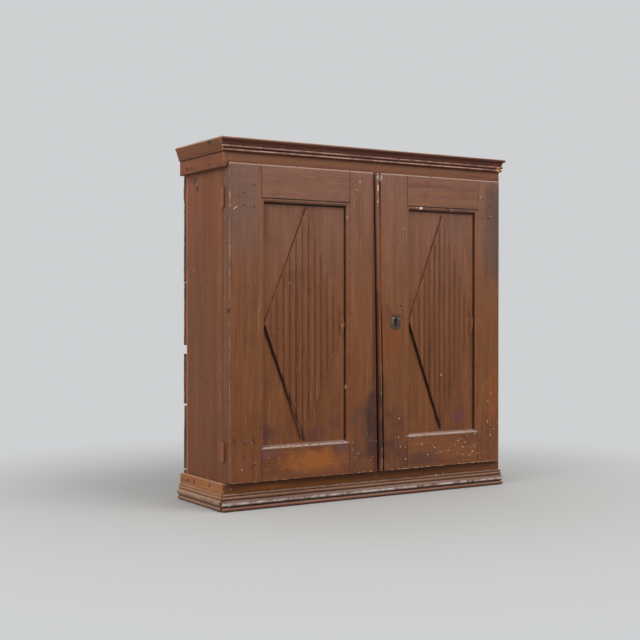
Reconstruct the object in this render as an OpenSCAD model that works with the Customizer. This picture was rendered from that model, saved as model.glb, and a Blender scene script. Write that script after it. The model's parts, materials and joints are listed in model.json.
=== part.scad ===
// Hanging cupboard with two panelled doors, each with a raised lozenge of upright reeds.
// Millimetres. +Z is up, the doors face -Y, and the origin is under the middle of the outline.

/* [Case] */
// Width over the outsides of the two side boards
case_w = 822; // [760:1:880]
// Overall height, from the base to the top of the cornice
case_h = 885; // [850:1:930]
// Depth from the faces of the doors to the back of the back boards
case_d = 251; // [225:1:300]
// Thickness of each side board
side_t = 20; // [17:1:26]
// Thickness of the top board
top_t = 18; // [14:1:24]
// Height of the cornice above the top board
top_inset = 4; // [0:0.5:8]
// Thickness of the bottom board
bottom_t = 20; // [16:1:26]
// Height of the bottom board's upper face above the base
bottom_rise = 5; // [3:0.5:9]
// Depth of the grooves in the sides that hold the shelves and the bottom board
housing_depth = 6; // [3:0.5:9]

/* [Shelves] */
// Thickness of each shelf
shelf_t = 18; // [12:1:24]
// Height of the lower shelf's upper face
lower_shelf_z = 330; // [260:1:400]
// Height of the upper shelf's upper face
upper_shelf_z = 590; // [520:1:660]
// Distance from the backs of the doors to the front edges of the shelves
shelf_setback = 24; // [20:1:60]

/* [Back boards] */
// Thickness of the back boards
back_t = 18; // [12:1:22]
// Height of the lowest back board
back_1_h = 72; // [55:1:90]
// Gap above the lowest back board
back_1_gap = 4; // [0.5:0.5:10]
// Height of the second back board
back_2_h = 159; // [120:1:180]
// Gap above the second back board
back_2_gap = 5; // [0.5:0.5:10]
// Height of the third back board
back_3_h = 126; // [100:1:150]
// Open gap above the third back board, where the wall shows through
back_3_gap = 22; // [2:0.5:30]
// Height of the fourth back board
back_4_h = 158; // [120:1:180]
// Gap above the fourth back board
back_4_gap = 1; // [0.5:0.5:10]
// Height of the fifth back board
back_5_h = 197; // [150:1:215]
// Gap above the fifth back board
back_5_gap = 1; // [0.5:0.5:10]
// Distance between the two holes that the cupboard hangs by
hang_spacing = 600; // [400:1:680]
// Height of the hanging holes below the overall height
hang_drop = 85; // [60:1:110]
// Diameter of each hanging hole
hang_hole_d = 10; // [6:0.5:16]

/* [Base] */
// Height of the base boards
base_h = 65; // [58:0.5:72]
// Distance that the base moulding stands out from the flat of its board
base_out = 9.5; // [7:0.1:12]
// Height of the rounded foot at the bottom of the base moulding
base_foot_h = 10.5; // [8:0.5:12]
// Height of the round swelling above the foot
base_swell_h = 13; // [11:0.5:15]
// Height of the flatter band above the swelling
base_band_h = 8; // [6:0.5:10]
// Height of the small bead above the band
base_bead_h = 4.5; // [4:0.5:6]
// Height of each narrow step between the parts of the mouldings
quirk_h = 1.5; // [1:0.1:2.5]
// Setback of the left base board's square front end behind the faces of the doors
left_base_end = 17.5; // [12:0.5:24]

/* [Frieze and cornice] */
// Setback of the frieze and the flat of the base behind the faces of the doors
front_set = 11.6; // [8:0.1:16]
// Thickness of the frieze and base boards on the sides
return_t = 9.9; // [8:0.1:14]
// Height of the front frieze that shows between the doors and the cornice
frieze_show = 24.8; // [16:0.1:34]
// Distance that the frieze on the sides hangs below the tops of the doors
return_drop = 10; // [5:0.5:14]
// Height of the cornice moulding
cornice_h = 34; // [30:0.5:40]
// Distance that the cornice stands out from the frieze
cornice_out = 13; // [11:0.1:18]
// Height of the cornice's lower bead
cornice_bead_h = 7.5; // [5:0.5:8]
// Height of the cornice's upper bead
cornice_upper_bead_h = 6; // [4:0.5:7]
// Height of the cornice's top edge
cornice_cap_h = 8; // [6:0.5:9]
// Height of the single bead under the plainer cornice on the left
left_bead_h = 4; // [3:0.5:6]

/* [Doors] */
// Thickness of the doors
door_t = 28; // [24:0.5:32]
// Gap above and below the doors
door_gap = 1.4; // [1:0.1:3]
// Play between the backs of the doors and the front edges of the case
door_play = 0.8; // [0.6:0.1:1.2]
// Gap between the two doors
meet_gap = 7.5; // [4:0.5:10]
// Distance of the meeting line to the right of the middle, at the tops of the doors
meet_top = 2.5; // [-5:0.5:12]
// Distance of the meeting line to the right of the middle, at the bottoms of the doors
meet_bottom = 15; // [5:0.5:20]
// Width of the left hinge stile, without its moulding
left_hinge_stile_w = 87; // [76:0.5:95]
// Width of the right hinge stile, without its moulding
right_hinge_stile_w = 72; // [70:0.5:80]
// Width between the stiles of the left door
left_opening_w = 251; // [235:0.5:262]
// Width between the stiles of the right door
right_opening_w = 234.5; // [220:0.5:245]
// Width of both top rails, without the moulding
top_rail_w = 80.3; // [60:0.1:95]
// Width of the left bottom rail, without the moulding
left_bottom_rail_w = 74.6; // [60:0.1:90]
// Width of the right bottom rail, without the moulding
right_bottom_rail_w = 79.6; // [60:0.1:90]
// Radius of the bead on the right door's meeting edge
meet_bead_r = 6.2; // [4:0.1:8]
// Width of the groove beside that bead
meet_quirk_w = 2; // [1:0.1:4]
// Depth of the cut behind the doors' top outer corners, which clears the frieze on the sides
corner_lip = 8.5; // [7:0.1:9]

/* [Panels] */
// Width of the moulding round each panel
mould_w = 9.5; // [7:0.1:12]
// Depth at which the moulding ends over the panel
mould_depth = 9; // [7:0.1:9.5]
// Depth of the square step where the moulding begins
mould_step = 1.4; // [0.5:0.1:2.5]
// Setback of the panels behind the faces of the frames
panel_set = 10.5; // [10:0.1:12]
// Thickness of the panels
panel_t = 10; // [8:0.1:11]
// Distance that the panels enter their grooves
panel_tongue = 6; // [3:0.1:6.5]
// Free depth that the grooves leave at the panels' edges
groove_spare = 1; // [0.5:0.1:1.5]
// Play between the panels and the walls of their grooves
groove_play = 0.15; // [0.1:0.05:0.3]
// Thickness of the lozenges, above the panels
lozenge_t = 6.5; // [5:0.1:9]
// Distance from the lozenges' upper and lower corners to the moulding
lozenge_end_gap = 9; // [3:0.5:30]
// Distance from the lozenges' side corners to the moulding
lozenge_side_gap = 0.6; // [0.4:0.1:20]
// Sideways shift of the left lozenge's upper corner
left_lozenge_top_shift = 2.5; // [-12:0.5:12]
// Sideways shift of the left lozenge's lower corner
left_lozenge_bottom_shift = -10.5; // [-12:0.5:12]
// Sideways shift of the right lozenge's upper corner
right_lozenge_top_shift = 2; // [-12:0.5:12]
// Sideways shift of the right lozenge's lower corner
right_lozenge_bottom_shift = -5; // [-12:0.5:12]
// Difference in height between the two side corners of a lozenge
lozenge_tilt = 6; // [-10:0.5:10]
// Number of reeds across each lozenge
reeds = 13; // [9:1:17]
// Width of the grooves between the reeds
reed_groove_w = 5; // [3:0.1:6]
// Depth of the grooves between the reeds
reed_groove_d = 4; // [2:0.1:4.5]
// Height of each reed's crown above its shoulders
reed_crown = 1.4; // [0.5:0.1:2]

/* [Joints of the frames] */
// Thickness of the tenons
tenon_t = 9; // [6:0.5:10]
// Length of the tenons
tenon_len = 45; // [25:1:50]
// Width of each shoulder beside a tenon
tenon_shoulder = 9; // [5:0.5:14]
// Play round the tenons
tenon_play = 0.2; // [0.1:0.05:0.4]
// Diameter of the pegs
peg_d = 8; // [6:0.5:10]
// Distance between the two pegs of a joint
peg_spacing = 34; // [20:1:38]
// Distance from the shoulder of a joint to its pegs
peg_inset = 20; // [14:1:26]
// Thickness of wood left in front of the pegs
peg_skin = 4; // [2:0.5:6]
// Play round the pegs and nails
pin_play = 0.1; // [0.05:0.05:0.2]

/* [Hinges] */
// Height of the hinge leaves
leaf_h = 76; // [64:1:90]
// Thickness of the hinge leaves
leaf_t = 2; // [1.5:0.1:2.5]
// Width of the frame leaf in the edge of the side board
frame_leaf_w = 15; // [10:0.5:16]
// Height of the barrel
barrel_h = 46; // [36:1:60]
// Radius of the barrel
barrel_r = 5; // [4.5:0.1:6]
// Radius of the hinge pin
hinge_pin_r = 2; // [1.5:0.1:2.5]
// Play between the pin and the barrel
hinge_play = 0.05; // [0.03:0.01:0.08]
// Gap between the knuckles of the barrel
knuckle_gap = 0.4; // [0.3:0.1:0.8]
// Room round the barrel in the wood
barrel_room = 0.6; // [0.4:0.1:1]
// Shift of the right hinges' nails towards their pins, against those on the left
right_nail_shift = 9; // [0:1:12]
// Distance from the side board's face out to the hinge pin
pin_out = 2.5; // [1.5:0.1:3]
// Height of the upper hinge's middle below the top of its door
upper_hinge_drop = 80; // [60:1:120]
// Height of the lower hinge's middle above the bottom of its door
lower_hinge_rise = 74; // [60:1:120]

/* [Nails] */
// Radius of a nail's shank
nail_r = 1.5; // [1:0.1:2]
// Radius of a nail's head
nail_head_r = 3.4; // [2.5:0.1:4]
// Thickness of a nail's head
nail_head_t = 1.2; // [0.8:0.1:1.5]
// Length of wood that a nail holds in, behind the piece that it fixes
nail_bite = 15; // [10:1:15]
// Radius of a tack's shank
tack_r = 0.9; // [0.7:0.1:1.2]
// Radius of a tack's head
tack_head_r = 2; // [1.6:0.1:2.4]
// Thickness of a tack's head
tack_head_t = 0.8; // [0.5:0.1:1]
// Length of a tack
tack_l = 9; // [6:0.5:10]
// Length of the bent point of a clinched nail
clinch_l = 6; // [3:0.5:9]
// Thickness of that bent point above the wood
clinch_t = 0.8; // [0.4:0.1:1.2]

/* [Lock] */
// Height of the keyhole's round part
key_z = 451; // [420:1:500]
// Distance from the right door's meeting edge to the keyhole
lock_backset = 55.5; // [48:0.5:60]
// Radius of the keyhole's round part
keyhole_r = 3.5; // [3:0.1:4]
// Width of the keyhole's slot
keyhole_slot_w = 5; // [4.6:0.1:6]
// Length of the keyhole's slot below the middle of the round part
keyhole_slot_l = 16; // [12:0.5:16]
// Width of the escutcheon
escutcheon_w = 29.5; // [24:0.5:32]
// Height of the escutcheon
escutcheon_h = 36; // [35:0.5:40]
// Thickness of the escutcheon
escutcheon_t = 1.5; // [1:0.1:2]
// Size of the escutcheon's clipped corners
escutcheon_clip = 4; // [2:0.5:8]
// Height of the keyhole's round part above the middle of the escutcheon
escutcheon_drop = 5.5; // [3:0.5:6]
// Play round the escutcheon in its recess
escutcheon_play = 0.7; // [0.2:0.1:1]
// Height of the lock case
lock_h = 74; // [64:0.5:80]
// Depth of the lock case
lock_d = 16; // [13:0.5:18]
// Height of the nailing ears above and below the lock case
lock_ear = 9; // [7:0.5:12]
// Free length in the lock case behind the drawn bolt
lock_room = 6; // [2:0.5:8]
// Thickness of the lock's sheet iron
lock_sheet = 1.5; // [1:0.1:2]
// Distance from the meeting edge to the lock case
lock_edge = 7; // [5:0.5:10]
// Height of the lock bolt
bolt_h = 20; // [14:0.5:22]
// Thickness of the lock bolt
bolt_t = 6; // [4:0.5:7]
// Length of the lock bolt behind its slot
bolt_tail = 5; // [3:0.5:7]
// Height of the lock bolt's lower edge above the keyhole's round part
bolt_rise = 4; // [3.6:0.1:6]
// Travel of the lock bolt
bolt_throw = 24; // [20:0.5:26]
// Play round the lock bolt and the door bolt
bolt_play = 0.4; // [0.3:0.1:0.6]
// Width of the strike plate in the left door
strike_w = 16; // [12:0.5:20]
// Height of the strike plate
strike_h = 34; // [28:0.5:44]
// Thickness of the strike plate
strike_t = 1.5; // [1:0.1:2]

/* [Left door's bolt] */
// Distance from the left door's opening to the middle of its bolt
slide_inset = 44; // [36:0.5:50]
// Width of the bolt
slide_w = 14; // [10:0.5:16]
// Thickness of the bolt
slide_t = 4; // [3:0.5:5]
// Length of the bolt
slide_l = 140; // [120:1:160]
// Height of the plate behind the bolt above the bolt's lower end
slide_plate_rise = 22; // [18:1:30]
// Length of the bolt above its plate
slide_top = 12; // [6:1:20]
// Travel of the bolt
slide_throw = 16; // [12:0.5:18]
// Height of the bolt's lower end above the bottom board, when the bolt is drawn
slide_clear = 4; // [3:0.5:6]
// Thickness of the plate behind the bolt
slide_plate_t = 3; // [2.4:0.1:4]
// Width of the plate behind the bolt
slide_plate_w = 34; // [30:0.5:40]
// Thickness of the staples and of the keeper
staple_t = 3; // [2:0.1:4]
// Height of each staple
staple_h = 12; // [8:0.5:16]
// Diameter of the bolt's knob
knob_d = 9; // [6:0.5:10]
// Length of the bolt's knob
knob_l = 9; // [6:0.5:10]
// Width of the keeper plate's rim round its slot
keeper_rim = 9; // [6:0.5:12]

/* [Hidden] */

// Sides and ends of the object, used as indices
LEFT = 0;
RIGHT = 1;
LOWER = 0;
UPPER = 1;
SIDES = [LEFT, RIGHT];
ENDS = [LOWER, UPPER];

// Resolution of round parts and of arcs in outlines
$fn = 48;
arc_steps = 6;
// Angles at which rounded edges stop beside a narrow step, and at which the cornice's top edge starts
side_angle = 75;
lip_angle = 60;
// Overshoot of cutting shapes past the surfaces that they cut
cut = 1;

// Planes across the object, from front to back
half_w = case_w / 2;
cornice_proud = max(0, cornice_out - front_set);
face_y = cornice_proud - (case_d + cornice_proud) / 2;
board_y = face_y + front_set;
door_back_y = face_y + door_t;
case_y = door_back_y + door_play;
rear_y = face_y + case_d;
side_rear_y = rear_y - back_t;
shelf_y = door_back_y + shelf_setback;
front_board_t = case_y - board_y;
hinge_y = door_back_y + door_play / 2;
hinge_x = half_w + pin_out;

// Heights
top_z = case_h - top_inset;
side_top_z = top_z - top_t;
door_z0 = base_h + door_gap;
frieze_z = case_h - cornice_h - frieze_show;
door_z1 = frieze_z - door_gap;
return_z = door_z1 - return_drop;
floor_z = base_h + bottom_rise;
hinge_z = [door_z0 + lower_hinge_rise, door_z1 - upper_hinge_drop];
hang_z = case_h - hang_drop;

// Doors: stiles, openings and rails, as [left, right]
hinge_stile_w = [left_hinge_stile_w, right_hinge_stile_w];
opening_w = [left_opening_w, right_opening_w];
bottom_rail_w = [left_bottom_rail_w, right_bottom_rail_w];
opening_z1 = door_z1 - top_rail_w;
panel_w0 = door_t - panel_set - panel_t;
panel_w1 = door_t - panel_set;
lozenge_w1 = panel_w1 + lozenge_t;
groove_w = panel_tongue + groove_spare;
tenon_w0 = (panel_w0 + panel_w1 - tenon_t) / 2;

// Hinge leaves; each reaches from its stile's outer edge to just short of the moulding
leaf_edge = 1;
leaf_reach = min(left_hinge_stile_w, right_hinge_stile_w) - leaf_edge;
knuckle_h = (barrel_h - 2 * knuckle_gap) / 3;
leaf_root = 3;

// Nails of the door leaves, as [distance from the leaf's tip, height]
leaf_nail_spots = [[33, -19], [33, 10], [6, -21], [6, 31]];
leaf_nail_shift = [0, right_nail_shift];

// Nails of the frame leaves: heights, and metal left beside their heads
frame_nail_heights = [-28, 0, 28];
nail_edge = 1.5;
frame_nail_x = pin_out + frame_leaf_w - nail_head_r - nail_edge;

// Nails of the case: shares of a board's height or depth at which they sit
board_nail_shares = [0.25, 0.75];
return_nail_shares = [0.28, 0.69, 0.86];
top_nail_shares = [0.2, 0.5, 0.8];
return_nail_rise = 11;

// Lock
tack_edge = 1;
stud_r = 2.5;
stud_room = stud_r + bolt_play;
bolt_l = lock_backset - lock_edge + bolt_throw + stud_room + bolt_tail;
lock_w = bolt_l + lock_room + lock_sheet;
key_x = meet_x(key_z) + meet_gap / 2 + lock_backset;
lock_x0 = meet_x(key_z) + meet_gap / 2 + lock_edge;
lock_z0 = key_z - lock_h / 2;
bolt_y0 = door_back_y + lock_sheet + bolt_play;
bolt_z0 = key_z + bolt_rise;
bit_notch_w = 9;
bit_notch_h = 3;
spring_t = 1;
spring_inset = 12;
escutcheon_tacks = [[-8, 7], [9, -5]];
strike_edge = 1;
strike_x0 = meet_x(key_z) - meet_gap / 2 - strike_edge - strike_w;

// Left door's bolt
slide_x = -half_w + hinge_stile_w[LEFT] + opening_w[LEFT] + slide_inset;
slide_y0 = door_back_y + slide_plate_t + bolt_play;
slide_z0 = floor_z + slide_clear;
slide_plate_z0 = slide_z0 + slide_plate_rise;
slide_plate_h = slide_l - slide_plate_rise - slide_top;
staple_inset = 8;
staple_z = [slide_plate_z0 + staple_inset, slide_plate_z0 + slide_plate_h - staple_inset - staple_h];
knob_z = (staple_z[0] + staple_z[1] + staple_h + slide_throw) / 2;
keeper_t = staple_t / 2;

// Points of an arc of an ellipse, from angle a0 to angle a1
function arc(centre, rx, ry, a0, a1) = [
    for (i = [0:arc_steps]) let (a = a0 + (a1 - a0) * i / arc_steps) centre + [rx * cos(a), ry * sin(a)]
];

// A rounded edge that stands out by a distance, from a height up: its own height, depth and end angles
function round_edge(out, z, h, depth, a0, a1) = arc([out - depth, z + h / 2], depth, h / 2, a0, a1);

// Place of the meeting line at a height
function meet_x(z) = meet_bottom + (meet_top - meet_bottom) * (z - door_z0) / (door_z1 - door_z0);

// Width of a door at a height, from its hinge edge to its meeting edge
function door_w(side, z) = half_w - meet_gap / 2 + (side == LEFT ? meet_x(z) : -meet_x(z));

// Lower and upper edge of a door's opening, between its rails
function opening_z0(side) = door_z0 + bottom_rail_w[side];

// Distance from a door's hinge edge to the far edge of its opening
function opening_end(side) = hinge_stile_w[side] + opening_w[side];

// Bottoms and tops of the back boards
back_heights = [back_1_h, back_2_h, back_3_h, back_4_h, back_5_h];
back_gaps = [back_1_gap, back_2_gap, back_3_gap, back_4_gap, back_5_gap];
function back_z0(i) = i == 0 ? 0 : back_z1(i - 1) + back_gaps[i - 1];
function back_z1(i) = i == len(back_heights) ? top_z : back_z0(i) + back_heights[i];

// Outline of the cornice, as [distance out from the frieze, height]
upper_bead_z = cornice_bead_h + quirk_h;
cove_z = upper_bead_z + cornice_upper_bead_h + quirk_h;
cove_end_z = cornice_h - cornice_cap_h;
cap_r = cornice_cap_h / 2;
bead_back = 2.5;
cove_x = cornice_out - cap_r / 2 - quirk_h;
cove_in = 2 * bead_back + 1;
cap_points = concat(
    arc([cornice_out - cap_r, cove_end_z + cap_r], cap_r, cap_r, -lip_angle, 90),
    [[0, cornice_h]]
);
cornice_outline = concat(
    [[0, 0]],
    arc([bead_back, cornice_bead_h / 2], cornice_bead_h / 2, cornice_bead_h / 2, -90, 90),
    [[bead_back, upper_bead_z]],
    arc([2 * bead_back, upper_bead_z + cornice_upper_bead_h / 2], cornice_upper_bead_h / 2,
        cornice_upper_bead_h / 2, -90, 90),
    [[2 * bead_back, cove_z]],
    arc([cove_x, cove_z], cove_x - cove_in, cove_end_z - cove_z, 180, 90),
    cap_points
);

// Outline of the left cornice: one bead and a slanted face under the same top edge
left_slope_in = 3.5;
left_cornice_outline = concat(
    [[0, 0]],
    arc([left_slope_in - left_bead_h / 2, left_bead_h / 2], left_bead_h / 2, left_bead_h / 2, -90, 90),
    [[left_slope_in - quirk_h, left_bead_h], [left_slope_in, left_bead_h + quirk_h]],
    cap_points
);

// Outline of a base board and its moulding, for a board of a given thickness
swell_z = base_foot_h + quirk_h;
band_z = swell_z + base_swell_h + quirk_h;
base_bead_z = band_z + base_band_h + quirk_h;
base_flat_z = base_bead_z + base_bead_h;
base_chamfer = 2;
foot_back = 1;
foot_depth = 6;
swell_depth = 5;
band_depth = 2.5;
band_out = 5;
base_bead_out = 4.5;
function base_outline(board_t) = concat(
    [[-board_t, 0]],
    round_edge(base_out - foot_back, 0, base_foot_h, foot_depth, -90, side_angle),
    round_edge(base_out, swell_z, base_swell_h, swell_depth, -side_angle, side_angle),
    round_edge(band_out, band_z, base_band_h, band_depth, -side_angle, side_angle),
    round_edge(base_bead_out, base_bead_z, base_bead_h, base_bead_h / 2, -side_angle, 90),
    [[0, base_flat_z], [0, base_h - base_chamfer], [-base_chamfer, base_h], [-board_t, base_h]]
);

// Section of the moulded edge of a door's frame, as [distance from the flat, height over the door's back]
strip_root = 2;
mould_flat = 1;
mould_section = concat(
    [[-strip_root, 0], [-strip_root, door_t - mould_step], [mould_flat, door_t - mould_step]],
    arc([mould_flat, door_t - mould_depth], mould_w - mould_flat, mould_depth - mould_step, side_angle, 0),
    [
        [mould_w, panel_w1 + groove_play],
        [mould_w - groove_w, panel_w1 + groove_play],
        [mould_w - groove_w, panel_w0 - groove_play],
        [mould_w, panel_w0 - groove_play],
        [mould_w, 0],
    ]
);

// Share of a reed's width at which its crown bends, and share of the crown's height lost there
reed_bend = 0.32;
reed_bend_drop = 0.3;

// Points across the top of one reed, as [distance across, height], for a reed of a given width
function reed_points(x0, w, top) = [
    [x0, top - reed_groove_d],
    [x0 + reed_groove_w / 2, top - reed_crown],
    [x0 + w * reed_bend, top - reed_crown * reed_bend_drop],
    [x0 + w / 2, top],
    [x0 + w * (1 - reed_bend), top - reed_crown * reed_bend_drop],
    [x0 + w - reed_groove_w / 2, top - reed_crown],
];

module board(low, high) {
    translate(low) cube(high - low);
}

// Draws its children on the left, or mirrored on the right
module on_side(side) {
    mirror([side == RIGHT ? 1 : 0, 0, 0]) children();
}

// Draws its children in a door's own space: across from the hinge edge, up, and forward from the door's back
module in_door(side) {
    on_side(side) translate([-half_w, door_back_y, 0]) rotate([90, 0, 0]) children();
}

// Draws its children round a hinge pin, with +X towards the middle of the case
module at_hinge(side, end) {
    on_side(side) translate([-hinge_x, hinge_y, hinge_z[end]]) children();
}

// A nail along +Z with its head's top at 0 and its shank below, thicker by the play
module nail(l, play) {
    translate([0, 0, -nail_head_t]) cylinder(r = nail_head_r + play, h = nail_head_t + (play > 0 ? cut : 0));
    translate([0, 0, -l - play]) cylinder(r = nail_r + play, h = l + play);
}

// A tack in the same form
module tack(play) {
    translate([0, 0, -tack_head_t]) cylinder(r = tack_head_r + play, h = tack_head_t + (play > 0 ? cut : 0));
    translate([0, 0, -tack_l - play]) cylinder(r = tack_r + play, h = tack_l + play);
}

// A tack driven into the door's back or front at a place, with its head's top at y
module back_tack(x, y, z, play) {
    translate([x, y, z]) rotate([-90, 0, 0]) tack(play);
}

// A board's outline, run along X with its face at board_y
module run_front(outline) {
    reach = half_w + return_t + 2 * cornice_out;
    translate([-reach, board_y, 0]) mirror([0, 1, 0]) rotate([90, 0, 90])
        linear_extrude(2 * reach) polygon(outline);
}

// A board's outline, run along Y on the left with its face at the side boards' return
module run_left(outline) {
    translate([-half_w - return_t, rear_y, 0]) rotate([90, 0, 0])
        linear_extrude(case_d + 2 * cornice_out) mirror([1, 0, 0]) polygon(outline);
}

// Plan of the front boards between the mitres
corner_reach = 2 * cornice_out;
front_plan = [
    [-half_w - return_t - corner_reach, board_y - corner_reach], [-half_w, board_y + return_t],
    [-half_w, case_y], [half_w, case_y],
    [half_w, board_y + return_t], [half_w + return_t + corner_reach, board_y - corner_reach],
];

// Plan of the front boards' left end, between the mitre and the door's edge
corner_plan = [
    [-half_w - return_t - corner_reach, board_y - corner_reach], [-half_w, board_y + return_t],
    [-half_w, board_y - corner_reach],
];

// Plan of the boards on the left side behind the mitre
left_plan = [
    [-half_w - return_t - corner_reach, board_y - corner_reach], [-half_w, board_y + return_t],
    [-half_w, rear_y], [-half_w - return_t - corner_reach, rear_y],
];

module in_plan(plan) {
    intersection() {
        linear_extrude(case_h) polygon(plan);
        children();
    }
}

function raised(outline, z) = [for (p = outline) p + [0, z]];

// A side board with its housings, as [lower face, upper face, front end]
module side_board(side) {
    housings = [
        [floor_z - bottom_t, floor_z, case_y - cut],
        [lower_shelf_z - shelf_t, lower_shelf_z, shelf_y],
        [upper_shelf_z - shelf_t, upper_shelf_z, shelf_y],
    ];
    on_side(side) difference() {
        board([-half_w, case_y, 0], [-half_w + side_t, side_rear_y, side_top_z]);
        for (housing = housings)
            board([-half_w + side_t - housing_depth, housing[2], housing[0]],
                  [-half_w + side_t + cut, side_rear_y + cut, housing[1]]);
    }
}

// Everything that is cut out of the side boards for iron
module side_cuts() {
    case_nail_set(pin_play);
    trim_nail_set(pin_play);
    for (side = SIDES, end = ENDS) {
        at_hinge(side, end) {
            frame_plate(cut);
            barrel_space();
            frame_nail_set(pin_play);
        }
    }
}

module side_left() {
    color("#7A4C38") difference() {
        side_board(LEFT);
        side_cuts();
    }
}

module side_right() {
    color("#7A4C38") difference() {
        side_board(RIGHT);
        side_cuts();
    }
}

module top_board() {
    color("#6B4A38") difference() {
        board([-half_w, case_y, side_top_z], [half_w, side_rear_y, top_z]);
        case_nail_set(pin_play);
    }
}

module bottom_board() {
    reach = half_w - side_t + housing_depth;
    color("#A88460") difference() {
        board([-reach, case_y, floor_z - bottom_t], [reach, side_rear_y, floor_z]);
        keeper_plate(cut);
        slide_socket(floor_z - bottom_t - cut);
        keeper_tacks(pin_play);
    }
}

module shelf(z) {
    reach = half_w - side_t + housing_depth;
    color("#A88460") board([-reach, shelf_y, z - shelf_t], [reach, side_rear_y, z]);
}

module shelf_lower() {
    shelf(lower_shelf_z);
}

module shelf_upper() {
    shelf(upper_shelf_z);
}

module back_board(i) {
    color("#8C7058") difference() {
        board([-half_w, side_rear_y, back_z0(i)], [half_w, rear_y, back_z1(i)]);
        case_nail_set(pin_play);
        for (x = [-hang_spacing / 2, hang_spacing / 2])
            translate([x, rear_y + cut, hang_z]) rotate([90, 0, 0])
                cylinder(d = hang_hole_d, h = back_t + 2 * cut);
    }
}

module back_board_1() {
    back_board(0);
}

module back_board_2() {
    back_board(1);
}

module back_board_3() {
    back_board(2);
}

module back_board_4() {
    back_board(3);
}

module back_board_5() {
    back_board(4);
}

module back_board_6() {
    back_board(5);
}

// Nails of the back boards and of the top board, driven into the edges of the side boards
module case_nail_set(play) {
    for (x = [-half_w + side_t / 2, half_w - side_t / 2]) {
        for (i = [0:len(back_heights)], share = board_nail_shares)
            translate([x, rear_y, back_z0(i) + share * (back_z1(i) - back_z0(i))])
                rotate([-90, 0, 0]) nail(back_t + nail_bite, play);
        for (share = top_nail_shares)
            translate([x, case_y + share * (side_rear_y - case_y), top_z]) nail(top_t + nail_bite, play);
    }
}

module case_nails() {
    color("#4A4440") case_nail_set(0);
}

function frieze_outline(board_t, low) = [[-board_t, low], [0, low], [0, top_z], [-board_t, top_z]];

// The front frieze, whose ends reach down beside the doors as far as the frieze on the sides
module frieze_front() {
    color("#80553C") difference() {
        union() {
            in_plan(front_plan) run_front(frieze_outline(front_board_t, frieze_z));
            for (side = SIDES) on_side(side)
                in_plan(corner_plan) run_front(frieze_outline(front_board_t, return_z));
        }
        trim_nail_set(pin_play);
    }
}

module frieze_return() {
    difference() {
        in_plan(left_plan) run_left(frieze_outline(return_t, return_z));
        trim_nail_set(pin_play);
    }
}

module frieze_left() {
    color("#80553C") frieze_return();
}

module frieze_right() {
    color("#80553C") on_side(RIGHT) frieze_return();
}

module cornice_front() {
    color("#5A3630") in_plan(front_plan) run_front(raised(cornice_outline, case_h - cornice_h));
}

module cornice_return(outline) {
    in_plan(left_plan) run_left(raised(outline, case_h - cornice_h));
}

module cornice_left() {
    color("#5A3630") cornice_return(left_cornice_outline);
}

module cornice_right() {
    color("#5A3630") on_side(RIGHT) cornice_return(cornice_outline);
}

module base_front() {
    color("#6A4438") difference() {
        in_plan(front_plan) run_front(base_outline(front_board_t));
        trim_nail_set(pin_play);
    }
}

module base_return() {
    difference() {
        in_plan(left_plan) run_left(base_outline(return_t));
        trim_nail_set(pin_play);
    }
}

// The left base board ends square, short of the mitre
module base_left() {
    far = half_w + return_t + corner_reach;
    color("#6A4438") intersection() {
        base_return();
        board([-far, face_y + left_base_end, 0], [0, rear_y, base_h]);
    }
}

module base_right() {
    color("#6A4438") on_side(RIGHT) base_return();
}

// Nails of the frieze and the base: two at the front of each side board, three along each side
module trim_nail_set(play) {
    frieze_nail_z = frieze_z + frieze_show / 2;
    return_nail_z = return_z + return_nail_rise;
    base_nail_z = (base_flat_z + base_h) / 2;
    for (side = SIDES) on_side(side) {
        for (z = [base_nail_z, frieze_nail_z])
            translate([-half_w + side_t / 2, board_y, z]) rotate([90, 0, 0])
                nail(front_board_t + nail_bite, play);
        for (z = [base_nail_z, return_nail_z], share = return_nail_shares)
            translate([-half_w - return_t, case_y + share * (side_rear_y - case_y), z])
                rotate([0, -90, 0]) nail(return_t + side_t / 2, play);
    }
}

module trim_nails() {
    color("#3A3430") trim_nail_set(0);
}

// A moulded strip of a door's frame along +X, with the opening towards +Y, mitred at both ends.
// Its root lies inside the member that it is worked on.
module moulded_strip(l) {
    intersection() {
        linear_extrude(door_t) polygon([
            [0, -strip_root], [l, -strip_root], [l, 0], [l - mould_w, mould_w], [mould_w, mould_w], [0, 0],
        ]);
        rotate([90, 0, 90]) linear_extrude(l) polygon(mould_section);
    }
}

module stile_strip(side) {
    translate([hinge_stile_w[side], opening_z1, 0]) rotate([0, 0, -90])
        moulded_strip(opening_z1 - opening_z0(side));
}

module meeting_strip(side) {
    translate([opening_end(side), opening_z0(side), 0]) rotate([0, 0, 90])
        moulded_strip(opening_z1 - opening_z0(side));
}

module bottom_strip(side) {
    translate([hinge_stile_w[side], opening_z0(side), 0]) moulded_strip(opening_w[side]);
}

module top_strip(side) {
    translate([opening_end(side), opening_z1, 0]) rotate([0, 0, 180]) moulded_strip(opening_w[side]);
}

// Span of a rail's height, for the lower or the upper end of a door
function rail_span(side, end) = end == LOWER ? [door_z0, opening_z0(side)] : [opening_z1, door_z1];

// Both tenons of a rail, or with play the mortises that take them
module tenons(side, end, play) {
    span = rail_span(side, end);
    board([hinge_stile_w[side] - tenon_len - play, span[0] + tenon_shoulder - play, tenon_w0 - play],
          [opening_end(side) + tenon_len + play, span[1] - tenon_shoulder + play, tenon_w0 + tenon_t + play]);
}

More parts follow.
